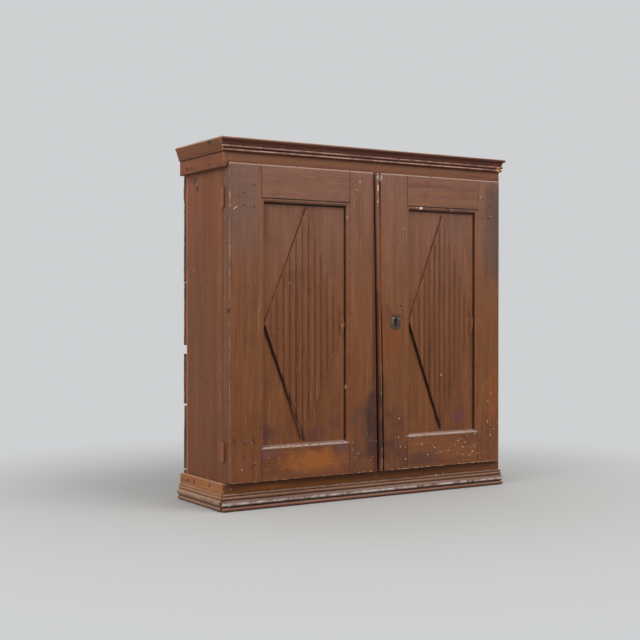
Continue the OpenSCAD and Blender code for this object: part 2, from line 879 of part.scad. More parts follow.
// The pegs through the tenons, driven from the back of the door
module peg_set(side, play) {
    for (end = ENDS) {
        middle = (rail_span(side, end)[0] + rail_span(side, end)[1]) / 2;
        for (u = [hinge_stile_w[side] - peg_inset, opening_end(side) + peg_inset],
             z = [middle - peg_spacing / 2, middle + peg_spacing / 2])
            translate([u, z, play > 0 ? -cut : 0])
                cylinder(d = peg_d + 2 * play, h = door_t - peg_skin + (play > 0 ? cut + play : 0));
    }
}

// Draws its children at each nail of a door's hinge leaves, in the door's space
module at_leaf_nails(side) {
    for (end = ENDS, spot = leaf_nail_spots) {
        z = hinge_z[end] + (end == UPPER ? spot[1] : -spot[1]);
        translate([leaf_reach - spot[0] - leaf_nail_shift[side], z, 0]) children();
    }
}

// The nails of a door's hinge leaves, driven from the back
module hinge_nail_set(side, play) {
    at_leaf_nails(side) translate([0, 0, -nail_head_t]) {
        cylinder(r = nail_head_r + play, h = nail_head_t);
        cylinder(r = nail_r + play, h = door_t + nail_head_t + (play > 0 ? cut : 0));
    }
}

// The points of those nails, bent over at the front
module clinches(side) {
    at_leaf_nails(side) board([-nail_r, -nail_r, door_t], [clinch_l - nail_r, nail_r, door_t + clinch_t]);
}

// What a stile or rail loses to hinges, nails, pegs and the frieze on the side
module door_cuts(side) {
    in_door(side) {
        hinge_nail_set(side, pin_play);
        peg_set(side, pin_play);
        board([-cut, return_z - door_gap, -cut], [side_t, door_z1 + cut, door_t - corner_lip]);
    }
    for (end = ENDS) at_hinge(side, end) {
        door_plate(cut);
        barrel_space();
    }
}

module hinge_stile(side) {
    difference() {
        in_door(side) {
            difference() {
                board([0, door_z0, 0], [hinge_stile_w[side], door_z1, door_t]);
                for (end = ENDS) tenons(side, end, tenon_play);
            }
            stile_strip(side);
        }
        door_cuts(side);
    }
}

module left_hinge_stile() {
    color("#7D5540") hinge_stile(LEFT);
}

module right_hinge_stile() {
    color("#7D5540") hinge_stile(RIGHT);
}

module meeting_body(side) {
    difference() {
        linear_extrude(door_t) polygon([
            [opening_end(side), door_z0], [door_w(side, door_z0), door_z0],
            [door_w(side, door_z1), door_z1], [opening_end(side), door_z1],
        ]);
        for (end = ENDS) tenons(side, end, tenon_play);
    }
    meeting_strip(side);
}

module left_meeting_stile() {
    color("#7D5540") difference() {
        in_door(LEFT) difference() {
            meeting_body(LEFT);
            peg_set(LEFT, pin_play);
        }
        strike_plate_body(cut);
        left_tacks(pin_play);
    }
}

// The leaning line of a door's meeting edge, with +Y up along it and -X into the stile
module along_meeting_edge(side) {
    lean = atan2(door_w(side, door_z0) - door_w(side, door_z1), door_z1 - door_z0);
    translate([door_w(side, door_z0), door_z0, 0]) rotate([0, 0, lean]) children();
}

// The right meeting stile's edge, cut back to take the bead
module bead_bed() {
    run = door_z1 - door_z0;
    along_meeting_edge(RIGHT) board([-2 * meet_bead_r - meet_quirk_w, -run, door_t - meet_bead_r],
                                    [meet_bead_r, 2 * run, door_t + cut]);
}

module meeting_bead() {
    run = door_z1 - door_z0;
    intersection() {
        along_meeting_edge(RIGHT) translate([-meet_bead_r, -run, door_t - meet_bead_r])
            rotate([-90, 0, 0]) cylinder(r = meet_bead_r, h = 3 * run);
        board([0, door_z0, 0], [half_w, door_z1, door_t + cut]);
    }
}

module right_meeting_stile() {
    color("#7D5540") difference() {
        in_door(RIGHT) difference() {
            union() {
                difference() {
                    meeting_body(RIGHT);
                    bead_bed();
                }
                meeting_bead();
            }
            peg_set(RIGHT, pin_play);
        }
        keyhole(face_y - cut, door_back_y + cut);
        escutcheon_body(escutcheon_play, cut);
        right_tacks(pin_play);
    }
}

module rail(side, end) {
    span = rail_span(side, end);
    difference() {
        in_door(side) {
            board([hinge_stile_w[side], span[0], 0], [opening_end(side), span[1], door_t]);
            tenons(side, end, 0);
            if (end == LOWER)
                bottom_strip(side);
            else
                top_strip(side);
        }
        door_cuts(side);
    }
}

module left_top_rail() {
    color("#7D5540") rail(LEFT, UPPER);
}

module left_bottom_rail() {
    color("#7A4A2E") rail(LEFT, LOWER);
}

module right_top_rail() {
    color("#7D5540") rail(RIGHT, UPPER);
}

module right_bottom_rail() {
    color("#7A4A2E") rail(RIGHT, LOWER);
}

// Corners of a door's panel where it shows, inside the moulding
function sight_low(side) = [hinge_stile_w[side] + mould_w, opening_z0(side) + mould_w];
function sight_high(side) = [opening_end(side) - mould_w, opening_z1 - mould_w];

module panel(side) {
    low = sight_low(side) - [panel_tongue, panel_tongue];
    high = sight_high(side) + [panel_tongue, panel_tongue];
    color("#7A503A") in_door(side) board([low[0], low[1], panel_w0], [high[0], high[1], panel_w1]);
}

module left_panel() {
    panel(LEFT);
}

module right_panel() {
    panel(RIGHT);
}

// A lozenge with upright reeds; the shifts move its corners to the right as seen from the front
module lozenge(side, top_shift, bottom_shift) {
    low = sight_low(side);
    high = sight_high(side);
    middle = (low + high) / 2;
    hand = side == LEFT ? 1 : -1;
    reed_w = (high[0] - low[0]) / reeds;
    color("#825840") in_door(side) intersection() {
        translate([0, 0, panel_w1]) linear_extrude(lozenge_t) polygon([
            [low[0] + lozenge_side_gap, middle[1] + hand * lozenge_tilt / 2],
            [middle[0] + hand * bottom_shift, low[1] + lozenge_end_gap],
            [high[0] - lozenge_side_gap, middle[1] - hand * lozenge_tilt / 2],
            [middle[0] + hand * top_shift, high[1] - lozenge_end_gap],
        ]);
        translate([0, high[1], 0]) rotate([90, 0, 0]) linear_extrude(high[1] - low[1]) polygon(concat(
            [[low[0], 0]],
            [for (i = [0:reeds - 1]) each reed_points(low[0] + i * reed_w, reed_w, lozenge_w1)],
            [[high[0], lozenge_w1 - reed_groove_d], [high[0], 0]]
        ));
    }
}

module left_lozenge() {
    lozenge(LEFT, left_lozenge_top_shift, left_lozenge_bottom_shift);
}

module right_lozenge() {
    lozenge(RIGHT, right_lozenge_top_shift, right_lozenge_bottom_shift);
}

module pegs(side) {
    color("#9A7850") difference() {
        in_door(side) peg_set(side, 0);
        for (end = ENDS) at_hinge(side, end) door_plate(cut);
    }
}

module left_pegs() {
    pegs(LEFT);
}

module right_pegs() {
    pegs(RIGHT);
}

// A hinge leaf's plate between two depths from the pin's middle: a narrow root, then the leaf
module leaf_plate(y0, y1, reach) {
    board([0, y0, -barrel_h / 2], [pin_out + leaf_root, y1, barrel_h / 2]);
    board([pin_out + leaf_root, y0, -leaf_h / 2], [pin_out + reach, y1, leaf_h / 2]);
}

// The plates, or with over the recesses that take them, which pass the surface by that much
module door_plate(over) {
    leaf_plate(-door_play / 2 - leaf_t, over - door_play / 2, leaf_reach);
}

module frame_plate(over) {
    leaf_plate(door_play / 2 - over, door_play / 2 + leaf_t, frame_leaf_w);
}

// The room that the barrel needs in the wood
module barrel_space() {
    cylinder(r = barrel_r + barrel_room, h = barrel_h + 2 * barrel_room, center = true);
}

// The middle knuckle, or the two outer ones
module middle_knuckle(play) {
    cylinder(r = barrel_r + play, h = knuckle_h + 2 * play, center = true);
}

module outer_knuckles(play) {
    for (dz = [-knuckle_h - knuckle_gap, knuckle_h + knuckle_gap])
        translate([0, 0, dz]) middle_knuckle(play);
}

module pin_bore() {
    cylinder(r = hinge_pin_r + hinge_play, h = barrel_h + 2 * cut, center = true);
}

module frame_nail_set(play) {
    for (dz = frame_nail_heights)
        translate([frame_nail_x, door_play / 2, dz]) rotate([90, 0, 0]) nail(leaf_t + nail_bite, play);
}

module door_leaf(side, end) {
    color("#4A403A") difference() {
        at_hinge(side, end) difference() {
            union() {
                difference() {
                    door_plate(0);
                    middle_knuckle(knuckle_gap);
                }
                outer_knuckles(0);
            }
            pin_bore();
        }
        in_door(side) hinge_nail_set(side, pin_play);
    }
}

module frame_leaf(side, end) {
    color("#4A403A") at_hinge(side, end) difference() {
        union() {
            difference() {
                frame_plate(0);
                outer_knuckles(knuckle_gap);
            }
            middle_knuckle(0);
        }
        pin_bore();
        frame_nail_set(pin_play);
    }
}

module left_upper_door_leaf() {
    door_leaf(LEFT, UPPER);
}

module left_upper_frame_leaf() {
    frame_leaf(LEFT, UPPER);
}

module left_lower_door_leaf() {
    door_leaf(LEFT, LOWER);
}

module left_lower_frame_leaf() {
    frame_leaf(LEFT, LOWER);
}

module right_upper_door_leaf() {
    door_leaf(RIGHT, UPPER);
}

module right_upper_frame_leaf() {
    frame_leaf(RIGHT, UPPER);
}

module right_lower_door_leaf() {
    door_leaf(RIGHT, LOWER);
}

module right_lower_frame_leaf() {
    frame_leaf(RIGHT, LOWER);
}

module hinge_pins() {
    color("#3A3430") for (side = SIDES, end = ENDS)
        at_hinge(side, end) cylinder(r = hinge_pin_r, h = barrel_h, center = true);
}

module frame_iron_nails() {
    color("#3A3430") {
        for (side = SIDES, end = ENDS) at_hinge(side, end) frame_nail_set(0);
        keeper_tacks(0);
    }
}

module clinched_nails(side) {
    in_door(side) {
        hinge_nail_set(side, 0);
        clinches(side);
    }
}

module left_door_nails() {
    color("#3A3430") {
        clinched_nails(LEFT);
        left_tacks(0);
    }
}

module right_door_nails() {
    color("#3A3430") {
        clinched_nails(RIGHT);
        right_tacks(0);
    }
}

// Tacks of the strike plate and of the plate behind the left door's bolt
module left_tacks(play) {
    inset = tack_head_r + tack_edge;
    reach = slide_plate_w / 2 - inset;
    for (dz = [inset - strike_h / 2, strike_h / 2 - inset])
        back_tack(strike_x0 + strike_w / 2, door_back_y, bolt_z0 + bolt_h / 2 + dz, play);
    for (x = [slide_x - reach, slide_x + reach],
         z = [slide_plate_z0 + inset, slide_plate_z0 + slide_plate_h - inset])
        back_tack(x, door_back_y + slide_plate_t, z, play);
}

// Tacks of the lock plate's ears, and of the escutcheon
module right_tacks(play) {
    for (x = [lock_x0 + lock_ear / 2, lock_x0 + lock_w - lock_ear / 2],
         z = [lock_z0 - lock_ear / 2, lock_z0 + lock_h + lock_ear / 2])
        back_tack(x, door_back_y + lock_sheet, z, play);
    for (spot = escutcheon_tacks)
        translate([key_x + spot[0], face_y, key_z + spot[1]]) rotate([90, 0, 0]) tack(play);
}

// Tacks of the keeper in the bottom board
module keeper_tacks(play) {
    reach = slide_w / 2 + keeper_rim - tack_head_r - tack_edge;
    for (x = [slide_x - reach, slide_x + reach])
        translate([x, slide_y0 + slide_t / 2, floor_z]) tack(play);
}

// The keyhole's space from one depth to another
module keyhole(y0, y1) {
    translate([key_x, y1, key_z]) rotate([90, 0, 0]) cylinder(r = keyhole_r, h = y1 - y0);
    board([key_x - keyhole_slot_w / 2, y0, key_z - keyhole_slot_l], [key_x + keyhole_slot_w / 2, y1, key_z]);
}

// The escutcheon's outline with play round it, let in from the face and over it
module escutcheon_body(play, over) {
    w = escutcheon_w / 2 + play;
    h = escutcheon_h / 2 + play;
    c = escutcheon_clip;
    translate([key_x, face_y + escutcheon_t, key_z - escutcheon_drop]) rotate([90, 0, 0])
        linear_extrude(escutcheon_t + over) polygon([
            [c - w, -h], [w - c, -h], [w, c - h], [w, h - c],
            [w - c, h], [c - w, h], [-w, h - c], [-w, c - h],
        ]);
}

module escutcheon() {
    color("#5A4A40") difference() {
        escutcheon_body(0, 0);
        keyhole(face_y - cut, face_y + escutcheon_t + cut);
        right_tacks(pin_play);
    }
}

// The plate on the door, with the stud that guides the bolt
module lock_plate() {
    color("#4A403A") {
        difference() {
            board([lock_x0, door_back_y, lock_z0 - lock_ear],
                  [lock_x0 + lock_w, door_back_y + lock_sheet, lock_z0 + lock_h + lock_ear]);
            keyhole(door_back_y - cut, door_back_y + lock_sheet + cut);
            right_tacks(pin_play);
        }
        translate([key_x, door_back_y + lock_d - lock_sheet, bolt_z0 + bolt_h / 2]) rotate([90, 0, 0])
            cylinder(r = stud_r, h = lock_d - 2 * lock_sheet);
    }
}

// The opening in the lock case that the bolt slides through
module bolt_slot(play) {
    board([lock_x0 - cut, bolt_y0 - play, bolt_z0 - play],
          [lock_x0 + lock_sheet + cut, bolt_y0 + bolt_t + play, bolt_z0 + bolt_h + play]);
}

module lock_case() {
    wall = [lock_sheet, lock_sheet, lock_sheet];
    low = [lock_x0, door_back_y + lock_sheet, lock_z0];
    high = [lock_x0 + lock_w, door_back_y + lock_d, lock_z0 + lock_h];
    color("#4A403A") difference() {
        board(low, high);
        board(low + wall - [0, 2 * lock_sheet, 0], high - wall);
        bolt_slot(bolt_play);
    }
}

// The bolt, with the slot that rides on the stud and the notch for the key's bit
module lock_bolt() {
    color("#6A625A") difference() {
        board([lock_x0, bolt_y0, bolt_z0], [lock_x0 + bolt_l, bolt_y0 + bolt_t, bolt_z0 + bolt_h]);
        board([key_x - stud_room, bolt_y0 - cut, bolt_z0 + bolt_h / 2 - stud_room],
              [key_x + bolt_throw + stud_room, bolt_y0 + bolt_t + cut, bolt_z0 + bolt_h / 2 + stud_room]);
        board([key_x, bolt_y0 - cut, bolt_z0 - cut],
              [key_x + bit_notch_w, bolt_y0 + bolt_t + cut, bolt_z0 + bit_notch_h]);
    }
}

// A flat spring that leans on the top of the bolt
module lock_spring() {
    top = lock_z0 + lock_h - lock_sheet;
    low = bolt_z0 + bolt_h + bolt_play;
    run = lock_w - 2 * spring_inset;
    color("#6A625A") translate([lock_x0 + spring_inset, bolt_y0 + bolt_t, 0]) rotate([90, 0, 0])
        linear_extrude(bolt_t) polygon([
            [0, top - spring_t], [run, low], [run, low + spring_t], [spring_t, top], [0, top],
        ]);
}

module strike_plate_body(over) {
    board([strike_x0, door_back_y - strike_t, bolt_z0 + bolt_h / 2 - strike_h / 2],
          [strike_x0 + strike_w, door_back_y + over, bolt_z0 + bolt_h / 2 + strike_h / 2]);
}

module strike_plate() {
    color("#4A403A") difference() {
        strike_plate_body(0);
        left_tacks(pin_play);
    }
}

module slide_plate() {
    half = slide_plate_w / 2;
    color("#4A403A") difference() {
        board([slide_x - half, door_back_y, slide_plate_z0],
              [slide_x + half, door_back_y + slide_plate_t, slide_plate_z0 + slide_plate_h]);
        left_tacks(pin_play);
    }
}

module slide_staples() {
    half = slide_w / 2 + bolt_play;
    y0 = door_back_y + slide_plate_t;
    y1 = slide_y0 + slide_t + bolt_play;
    color("#3A3430") for (z = staple_z) difference() {
        board([slide_x - half - staple_t, y0, z], [slide_x + half + staple_t, y1 + staple_t, z + staple_h]);
        board([slide_x - half, y0 - cut, z - cut], [slide_x + half, y1, z + staple_h + cut]);
    }
}

module slide_bolt() {
    color("#6A625A") {
        board([slide_x - slide_w / 2, slide_y0, slide_z0],
              [slide_x + slide_w / 2, slide_y0 + slide_t, slide_z0 + slide_l]);
        translate([slide_x, slide_y0 + slide_t + knob_l, knob_z]) rotate([90, 0, 0])
            cylinder(d = knob_d, h = knob_l);
    }
}

// The slot that the left door's bolt drops into, from a height up through the floor
module slide_socket(z0) {
    room = 2 * bolt_play;
    board([slide_x - slide_w / 2 - room, slide_y0 - room, z0],
          [slide_x + slide_w / 2 + room, slide_y0 + slide_t + room, floor_z + cut]);
}

module keeper_plate(over) {
    board([slide_x - slide_w / 2 - keeper_rim, case_y - over, floor_z - keeper_t],
          [slide_x + slide_w / 2 + keeper_rim, slide_y0 + slide_t + keeper_rim, floor_z + over]);
}

module slide_keeper() {
    color("#3A3430") difference() {
        keeper_plate(0);
        slide_socket(floor_z - keeper_t - cut);
        keeper_tacks(pin_play);
    }
}

side_left();
side_right();
top_board();
bottom_board();
shelf_lower();
shelf_upper();
back_board_1();
back_board_2();
back_board_3();
back_board_4();
back_board_5();
back_board_6();
case_nails();
frieze_front();
frieze_left();
frieze_right();
cornice_front();
cornice_left();
cornice_right();
base_front();
base_left();
base_right();
trim_nails();
left_hinge_stile();
left_meeting_stile();
left_top_rail();
left_bottom_rail();
left_panel();
left_lozenge();
left_pegs();
right_hinge_stile();
right_meeting_stile();
right_top_rail();
right_bottom_rail();
right_panel();
right_lozenge();
right_pegs();
left_upper_door_leaf();
left_upper_frame_leaf();
left_lower_door_leaf();
left_lower_frame_leaf();
right_upper_door_leaf();
right_upper_frame_leaf();
right_lower_door_leaf();
right_lower_frame_leaf();
hinge_pins();
frame_iron_nails();
left_door_nails();
right_door_nails();
escutcheon();
lock_plate();
lock_case();
lock_bolt();
lock_spring();
strike_plate();
slide_plate();
slide_staples();
slide_bolt();
slide_keeper();
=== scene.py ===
"""Looks of an old hanging cupboard: worn boards, brown paint, bare pine, iron, studio and camera.

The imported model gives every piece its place. Lengths are millimetres and angles are degrees,
unless a name says otherwise; Blender's own lengths are metres.
"""

import json
import logging
import math
from abc import ABC, abstractmethod
from collections.abc import Iterable, Sequence
from dataclasses import dataclass, replace
from enum import Enum
from functools import cache

import bmesh
import bpy
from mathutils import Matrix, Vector, noise

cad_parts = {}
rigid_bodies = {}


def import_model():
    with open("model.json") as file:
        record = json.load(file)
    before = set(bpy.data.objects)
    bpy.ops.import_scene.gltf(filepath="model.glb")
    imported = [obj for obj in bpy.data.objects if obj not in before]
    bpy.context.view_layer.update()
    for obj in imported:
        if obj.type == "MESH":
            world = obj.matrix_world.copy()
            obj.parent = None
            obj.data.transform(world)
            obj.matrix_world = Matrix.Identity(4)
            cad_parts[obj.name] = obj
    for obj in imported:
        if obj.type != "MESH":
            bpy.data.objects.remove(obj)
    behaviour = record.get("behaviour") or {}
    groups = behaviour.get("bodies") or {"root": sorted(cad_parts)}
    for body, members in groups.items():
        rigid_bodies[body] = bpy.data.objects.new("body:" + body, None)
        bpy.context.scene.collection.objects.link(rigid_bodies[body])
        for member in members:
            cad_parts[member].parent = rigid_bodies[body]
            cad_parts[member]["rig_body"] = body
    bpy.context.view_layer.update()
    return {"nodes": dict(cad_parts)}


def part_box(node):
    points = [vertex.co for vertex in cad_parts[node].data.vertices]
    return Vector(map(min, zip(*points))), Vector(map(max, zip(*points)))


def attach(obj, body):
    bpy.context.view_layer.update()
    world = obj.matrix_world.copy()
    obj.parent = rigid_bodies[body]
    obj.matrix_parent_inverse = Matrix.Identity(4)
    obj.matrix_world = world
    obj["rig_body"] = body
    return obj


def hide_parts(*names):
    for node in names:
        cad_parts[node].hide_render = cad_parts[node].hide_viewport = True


MM = 0.001
MIX_A, MIX_B, MIX_COLOUR = 6, 7, 2  # The colour sockets of a mix node.
WAVE = math.pi / 10  # A wave texture of scale 1 repeats once in this length.
SEED_SHIFT = (1.3, 2.1, 3.7)  # How far one step of a seed moves a pattern, in metres.
FRAY, TATTER = 4, 26  # Width of the bites in the edge of a small mark, and of a broad one.
BROAD = 14.0  # Marks with a wider half than this have the coarser edge,
COARSER = 1.5  # which is this many times as ragged.
PITH_LEAN = 0.06  # A log's middle leans off the grain by this angle, in radians.
CORE, FINE_CORE = 0.35, 0.55  # Share of a stroke or broad mark, and of a small mark, that is full.
MERGE, SNAP = 1e-6, 1e-7  # Distances at which corners are the same, in metres.
FLAT, ROUND, SHARP = 0.5, 28, 40  # Angles within one plane, shaded round, and from an arris up.
RUBBED = 0.2  # Points on an edge of more than this are rubbed, in radians.
CUT_SHIFT = 0.13  # Cuts lie this share of a pitch past the even places, clear of other edges.
FACE_Y = -124.8  # The doors' front.
FLANK_X = -411.0  # The left side's outer face.
LOG = logging.getLogger("cupboard")

Point = tuple[float, float, float]
Span = tuple[float, float]
Colour = tuple[float, float, float, float]
Socket = bpy.types.NodeSocket
Tree = bpy.types.NodeTree
Nodes = dict[str, bpy.types.Object]


class Grain(Enum):
    """Direction in which a board's fibres run."""

    ACROSS = 0
    DEEP = 1
    UPRIGHT = 2

    @property
    def stretch(self) -> Point:
        """Scale that draws a pattern out twenty times along the fibres."""
        return tuple(0.05 if axis == self.value else 1.0 for axis in range(3))

    @property
    def letter(self) -> str:
        """Name of the axis, as the ring pattern wants it."""
        return "XYZ"[self.value]


class Side(Enum):
    """The two sides of the cupboard, with the sign of X there."""

    LEFT = -1
    RIGHT = 1

    @property
    def word(self) -> str:
        """Start of the side's node names."""
        return self.name.lower()


def linear(code: str) -> Colour:
    """Turns an sRGB hex colour such as "#7A4B32" into linear red, green, blue and alpha."""
    parts = [int(code[i : i + 2], 16) / 255 for i in (1, 3, 5)]
    light = [p / 12.92 if p <= 0.04045 else ((p + 0.055) / 1.055) ** 2.4 for p in parts]
    return (*light, 1.0)


def per_mm(size: float) -> float:
    """Texture scale at which a pattern's features are about `size` mm across."""
    return 1.0 / (size * MM)


def metres(point: Iterable[float]) -> Point:
    """Turns a point or size in millimetres into metres."""
    return tuple(value * MM for value in point)


@cache
def rest_box(node: str) -> tuple[Vector, Vector]:
    """Lowest and highest corner of a node at rest, in metres, looked up once."""
    low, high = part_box(node)
    return Vector(low), Vector(high)


def add(
    tree: Tree, kind: str, inputs: dict | None = None, out: int | str = 0, **settings: object
) -> Socket | None:
    """Adds a node with its settings and links.

    Args:
        tree: tree that takes the node.
        kind: the node's type, without the ShaderNode that Blender's name starts with.
        inputs: a value or another node's socket for each input, by name or number.
        out: name or number of the output that is wanted.
        settings: values of the node's own properties.

    Returns:
        The wanted output, or None where the node has none.
    """
    node = tree.nodes.new(f"ShaderNode{kind}")
    for name, value in settings.items():
        setattr(node, name, value)
    for key, value in (inputs or {}).items():
        if isinstance(value, bpy.types.NodeSocket):
            tree.links.new(value, node.inputs[key])
        else:
            node.inputs[key].default_value = value
    return node.outputs[out] if node.outputs else None


def fold(tree: Tree, operation: str, *values: Socket | float) -> Socket:
    """Joins sockets or numbers two by two with one operation, such as MULTIPLY."""
    total = values[0]
    for value in values[1:]:
        total = add(tree, "Math", {0: total, 1: value}, operation=operation)
    return total


def blend(
    tree: Tree, mask: Socket | float, under: Socket | Colour, over: Socket | Colour
) -> Socket:
    """Mixes one colour over another, as strongly as the mask says."""
    return add(tree, "Mix", {0: mask, MIX_A: under, MIX_B: over}, out=MIX_COLOUR, data_type="RGBA")


class Canvas:
    """A material in the making: its tree, its coordinates, its layers of colour and its relief."""

    def __init__(self, name: str, ground: str) -> None:
        """Starts the material with one ground colour.

        Args:
            name: name of the material.
            ground: sRGB hex colour of the lowest layer.
        """
        self.material = bpy.data.materials.new(name)
        self.material.use_nodes = True
        self.tree = self.material.node_tree
        self.tree.nodes.clear()
        self.place = add(self.tree, "TexCoord", out="Object")
        self.parts = add(self.tree, "SeparateXYZ", {0: self.place})
        self.normal = add(self.tree, "NewGeometry", out="Normal")
        self.fray, self.tatter = (
            add(
                self.tree, "TexNoise",
                {"Vector": self.place, "Scale": per_mm(size), "Detail": 4.0, "Roughness": 0.65},
            )
            for size in (FRAY, TATTER)
        )
        self.colour: Socket | Colour = linear(ground)
        self.relief: Socket | float = 0.5

    def axis(self, number: int) -> Socket:
        """X, Y or Z of the point, in metres."""
        return self.parts.node.outputs[number]

    def step(self, value: Socket, start: float, full: float, most: float = 1.0) -> Socket:
        """Masks softly where a value has passed from `start` to `full`.

        Args:
            value: value that is looked at.
            start: value at which the mask begins.
            full: value at which it is full; it may be the smaller one.
            most: strength of the full mask.

        Returns:
            The mask.
        """
        return add(
            self.tree, "MapRange",
            {"Value": value, "From Min": start, "From Max": full, "To Max": most},
            interpolation_type="SMOOTHSTEP",
        )

    def clouds(
        self, size: float, span: Span = (0.4, 0.6), grain: Grain | None = None, seed: float = 0.0
    ) -> Socket:
        """Masks soft patches, drawn out along the grain where one is given.

        Args:
            size: width of the patches.
            span: noise values at which the mask begins and is full.
            grain: direction of the fibres.
            seed: another number gives other patches.

        Returns:
            The mask, from 0 to 1.
        """
        shift = tuple(seed * part for part in SEED_SHIFT)
        scale = grain.stretch if grain else (1.0, 1.0, 1.0)
        moved = add(
            self.tree, "Mapping", {"Vector": self.place, "Location": shift, "Scale": scale}
        )
        pattern = add(
            self.tree, "TexNoise",
            {"Vector": moved, "Scale": per_mm(size), "Detail": 5.0, "Roughness": 0.6},
        )
        return self.step(pattern, *span)

    def rings(self, grain: Grain, pith: Point, spacing: float) -> Socket:
        """Growth rings of a log, cut open by the board's own surface.

        Args:
            grain: direction of the log.
            pith: a point on the log's middle.
            spacing: distance from ring to ring.

        Returns:
            A value that climbs slowly over the early wood and drops after the late wood.
        """
        lean = [0.0, 0.0, 0.0]
        lean[(grain.value + 1) % 3] = PITH_LEAN
        centred = add(
            self.tree, "Mapping",
            {"Vector": self.place, "Location": metres(-p for p in pith), "Rotation": tuple(lean)},
        )
        return add(
            self.tree, "TexWave",
            {
                "Vector": centred, "Scale": WAVE / (spacing * MM), "Distortion": 3.0,
                "Detail": 2.0, "Detail Scale": 0.25, "Detail Roughness": 0.55,
            },
            wave_type="RINGS", rings_direction=grain.letter, wave_profile="SAW",
        )

    def lay(self, tint: str | Socket, *masks: Socket | float) -> None:
        """Lays a hex colour, or a socket's, over what is there, where all the masks lie."""
        top = linear(tint) if isinstance(tint, str) else tint
        self.colour = blend(self.tree, fold(self.tree, "MULTIPLY", *masks), self.colour, top)

    def raise_by(self, mask: Socket, amount: float) -> None:
        """Raises the relief where the mask lies, or sinks it where the amount is negative."""
        self.relief = add(
            self.tree, "Math", {0: mask, 1: amount, 2: self.relief}, operation="MULTIPLY_ADD"
        )

    def grade(self, tones: dict[float, str]) -> None:
        """Lays colours that change evenly with height.

        Args:
            tones: sRGB hex colour at each height, two or more.
        """
        heights = sorted(tones)
        share = add(
            self.tree, "MapRange",
            {"Value": self.axis(2), "From Min": heights[0] * MM, "From Max": heights[-1] * MM},
        )
        self.colour = add(self.tree, "ValToRGB", {"Fac": share}, out="Color")
        stops = self.colour.node.color_ramp.elements
        for height in heights[1:-1]:
            stops.new((height - heights[0]) / (heights[-1] - heights[0]))
        for stop, height in zip(stops, heights):
            stop.color = linear(tones[height])

    def crevices(self, reach: float) -> Socket:
        """Masks inner corners: begins where 85 % of the sky is seen, and is full at 35 %."""
        seen = add(
            self.tree, "AmbientOcclusion",
            {"Distance": reach * MM}, out="AO", samples=4, only_local=True,
        )
        return self.step(seen, 0.85, 0.35)

    def arrises(self, radius: float) -> Socket:
        """Masks what lies within `radius` of an arris, where a normal that is rounded there
        leans 10 degrees (a cosine of 0.985) to 31 degrees (0.86) off the true one.
        """
        rounded = add(self.tree, "Bevel", {"Radius": radius * MM}, samples=4)
        same = add(
            self.tree, "VectorMath", {0: rounded, 1: self.normal}, out="Value",
            operation="DOT_PRODUCT",
        )
        return self.step(same, 0.985, 0.86)

    def ledges(self) -> Socket:
        """Masks what faces up, full at 32 degrees off level. Dust, rubbing hands and painted sheen
        go there.
        """
        up = add(self.tree, "SeparateXYZ", {0: self.normal}, out="Z")
        return self.step(up, 0.3, 0.85)

    def shader(
        self, roughness: Socket | float, depth: float, metallic: Socket | float = 0.0,
        specular: float = 0.5,
    ) -> Socket:
        """Makes the shader of all that was laid.

        Args:
            roughness: the surface's roughness.
            depth: size of the relief.
            metallic: share of bare metal.
            specular: strength of a non-metal's reflection; 0.5 is an index of 1.5.

        Returns:
            The shader.
        """
        bump = add(
            self.tree, "Bump", {"Height": self.relief, "Distance": depth * MM, "Strength": 0.8}
        )
        return add(
            self.tree, "BsdfPrincipled",
            {
                "Base Color": self.colour, "Roughness": roughness, "Normal": bump,
                "Metallic": metallic, "Specular IOR Level": specular,
            },
        )

    def finish(self, shader: Socket) -> bpy.types.Material:
        """Ends the material with its shader."""
        add(self.tree, "OutputMaterial", {"Surface": shader})
        return self.material


class Detail(ABC):
    """Something small that lies on a finish at one place, in a colour of its own."""

    tint: str
    sunk: float

    @abstractmethod
    def box(self) -> tuple[Point, Point]:
        """Lowest and highest corner of what it covers."""

    @abstractmethod
    def mask(self, canvas: Canvas, seed: float) -> Socket:
        """Masks what it covers, as strongly as it shows.

        Args:
            canvas: material that takes the nodes.
            seed: another number breaks it up elsewhere.

        Returns:
            The mask.
        """

    def falls_on(self, node: str) -> bool:
        """Whether it covers any of a node's box."""
        low, high = self.box()
        below, above = rest_box(node)
        return all(low[i] * MM <= above[i] and below[i] <= high[i] * MM for i in range(3))


@dataclass(frozen=True)
class Mark(Detail):
    """A stain, chip, knot, rubbed spot or patch of painted shade: an ellipsoid with a frayed edge.
    """

    place: Point
    size: Point
    tint: str
    strength: float = 1.0
    ragged: float = 0.6
    sunk: float = 0.0

    def box(self) -> tuple[Point, Point]:
        """Lowest and highest corner of what it covers."""
        low = tuple(p - s for p, s in zip(self.place, self.size))
        high = tuple(p + s for p, s in zip(self.place, self.size))
        return low, high

    def mask(self, canvas: Canvas, seed: float) -> Socket:
        """Masks the ellipsoid; see Detail.mask."""
        tree = canvas.tree
        away = add(
            tree, "VectorMath", {0: canvas.place, 1: metres(self.place)}, operation="SUBTRACT"
        )
        scaled = add(
            tree, "VectorMath", {0: away, 1: tuple(per_mm(s) for s in self.size)},
            operation="MULTIPLY",
        )
        reach = add(tree, "VectorMath", {0: scaled}, out="Value", operation="LENGTH")
        broad = max(self.size[1:]) > BROAD
        edge = canvas.tatter if broad else canvas.fray
        ragged = self.ragged * (COARSER if broad else 1.0)
        frayed = add(tree, "Math", {0: edge, 1: ragged, 2: reach}, operation="MULTIPLY_ADD")
        half = ragged / 2
        core = CORE if broad else FINE_CORE
        return canvas.step(frayed, 1.0 + half, core + half, self.strength)


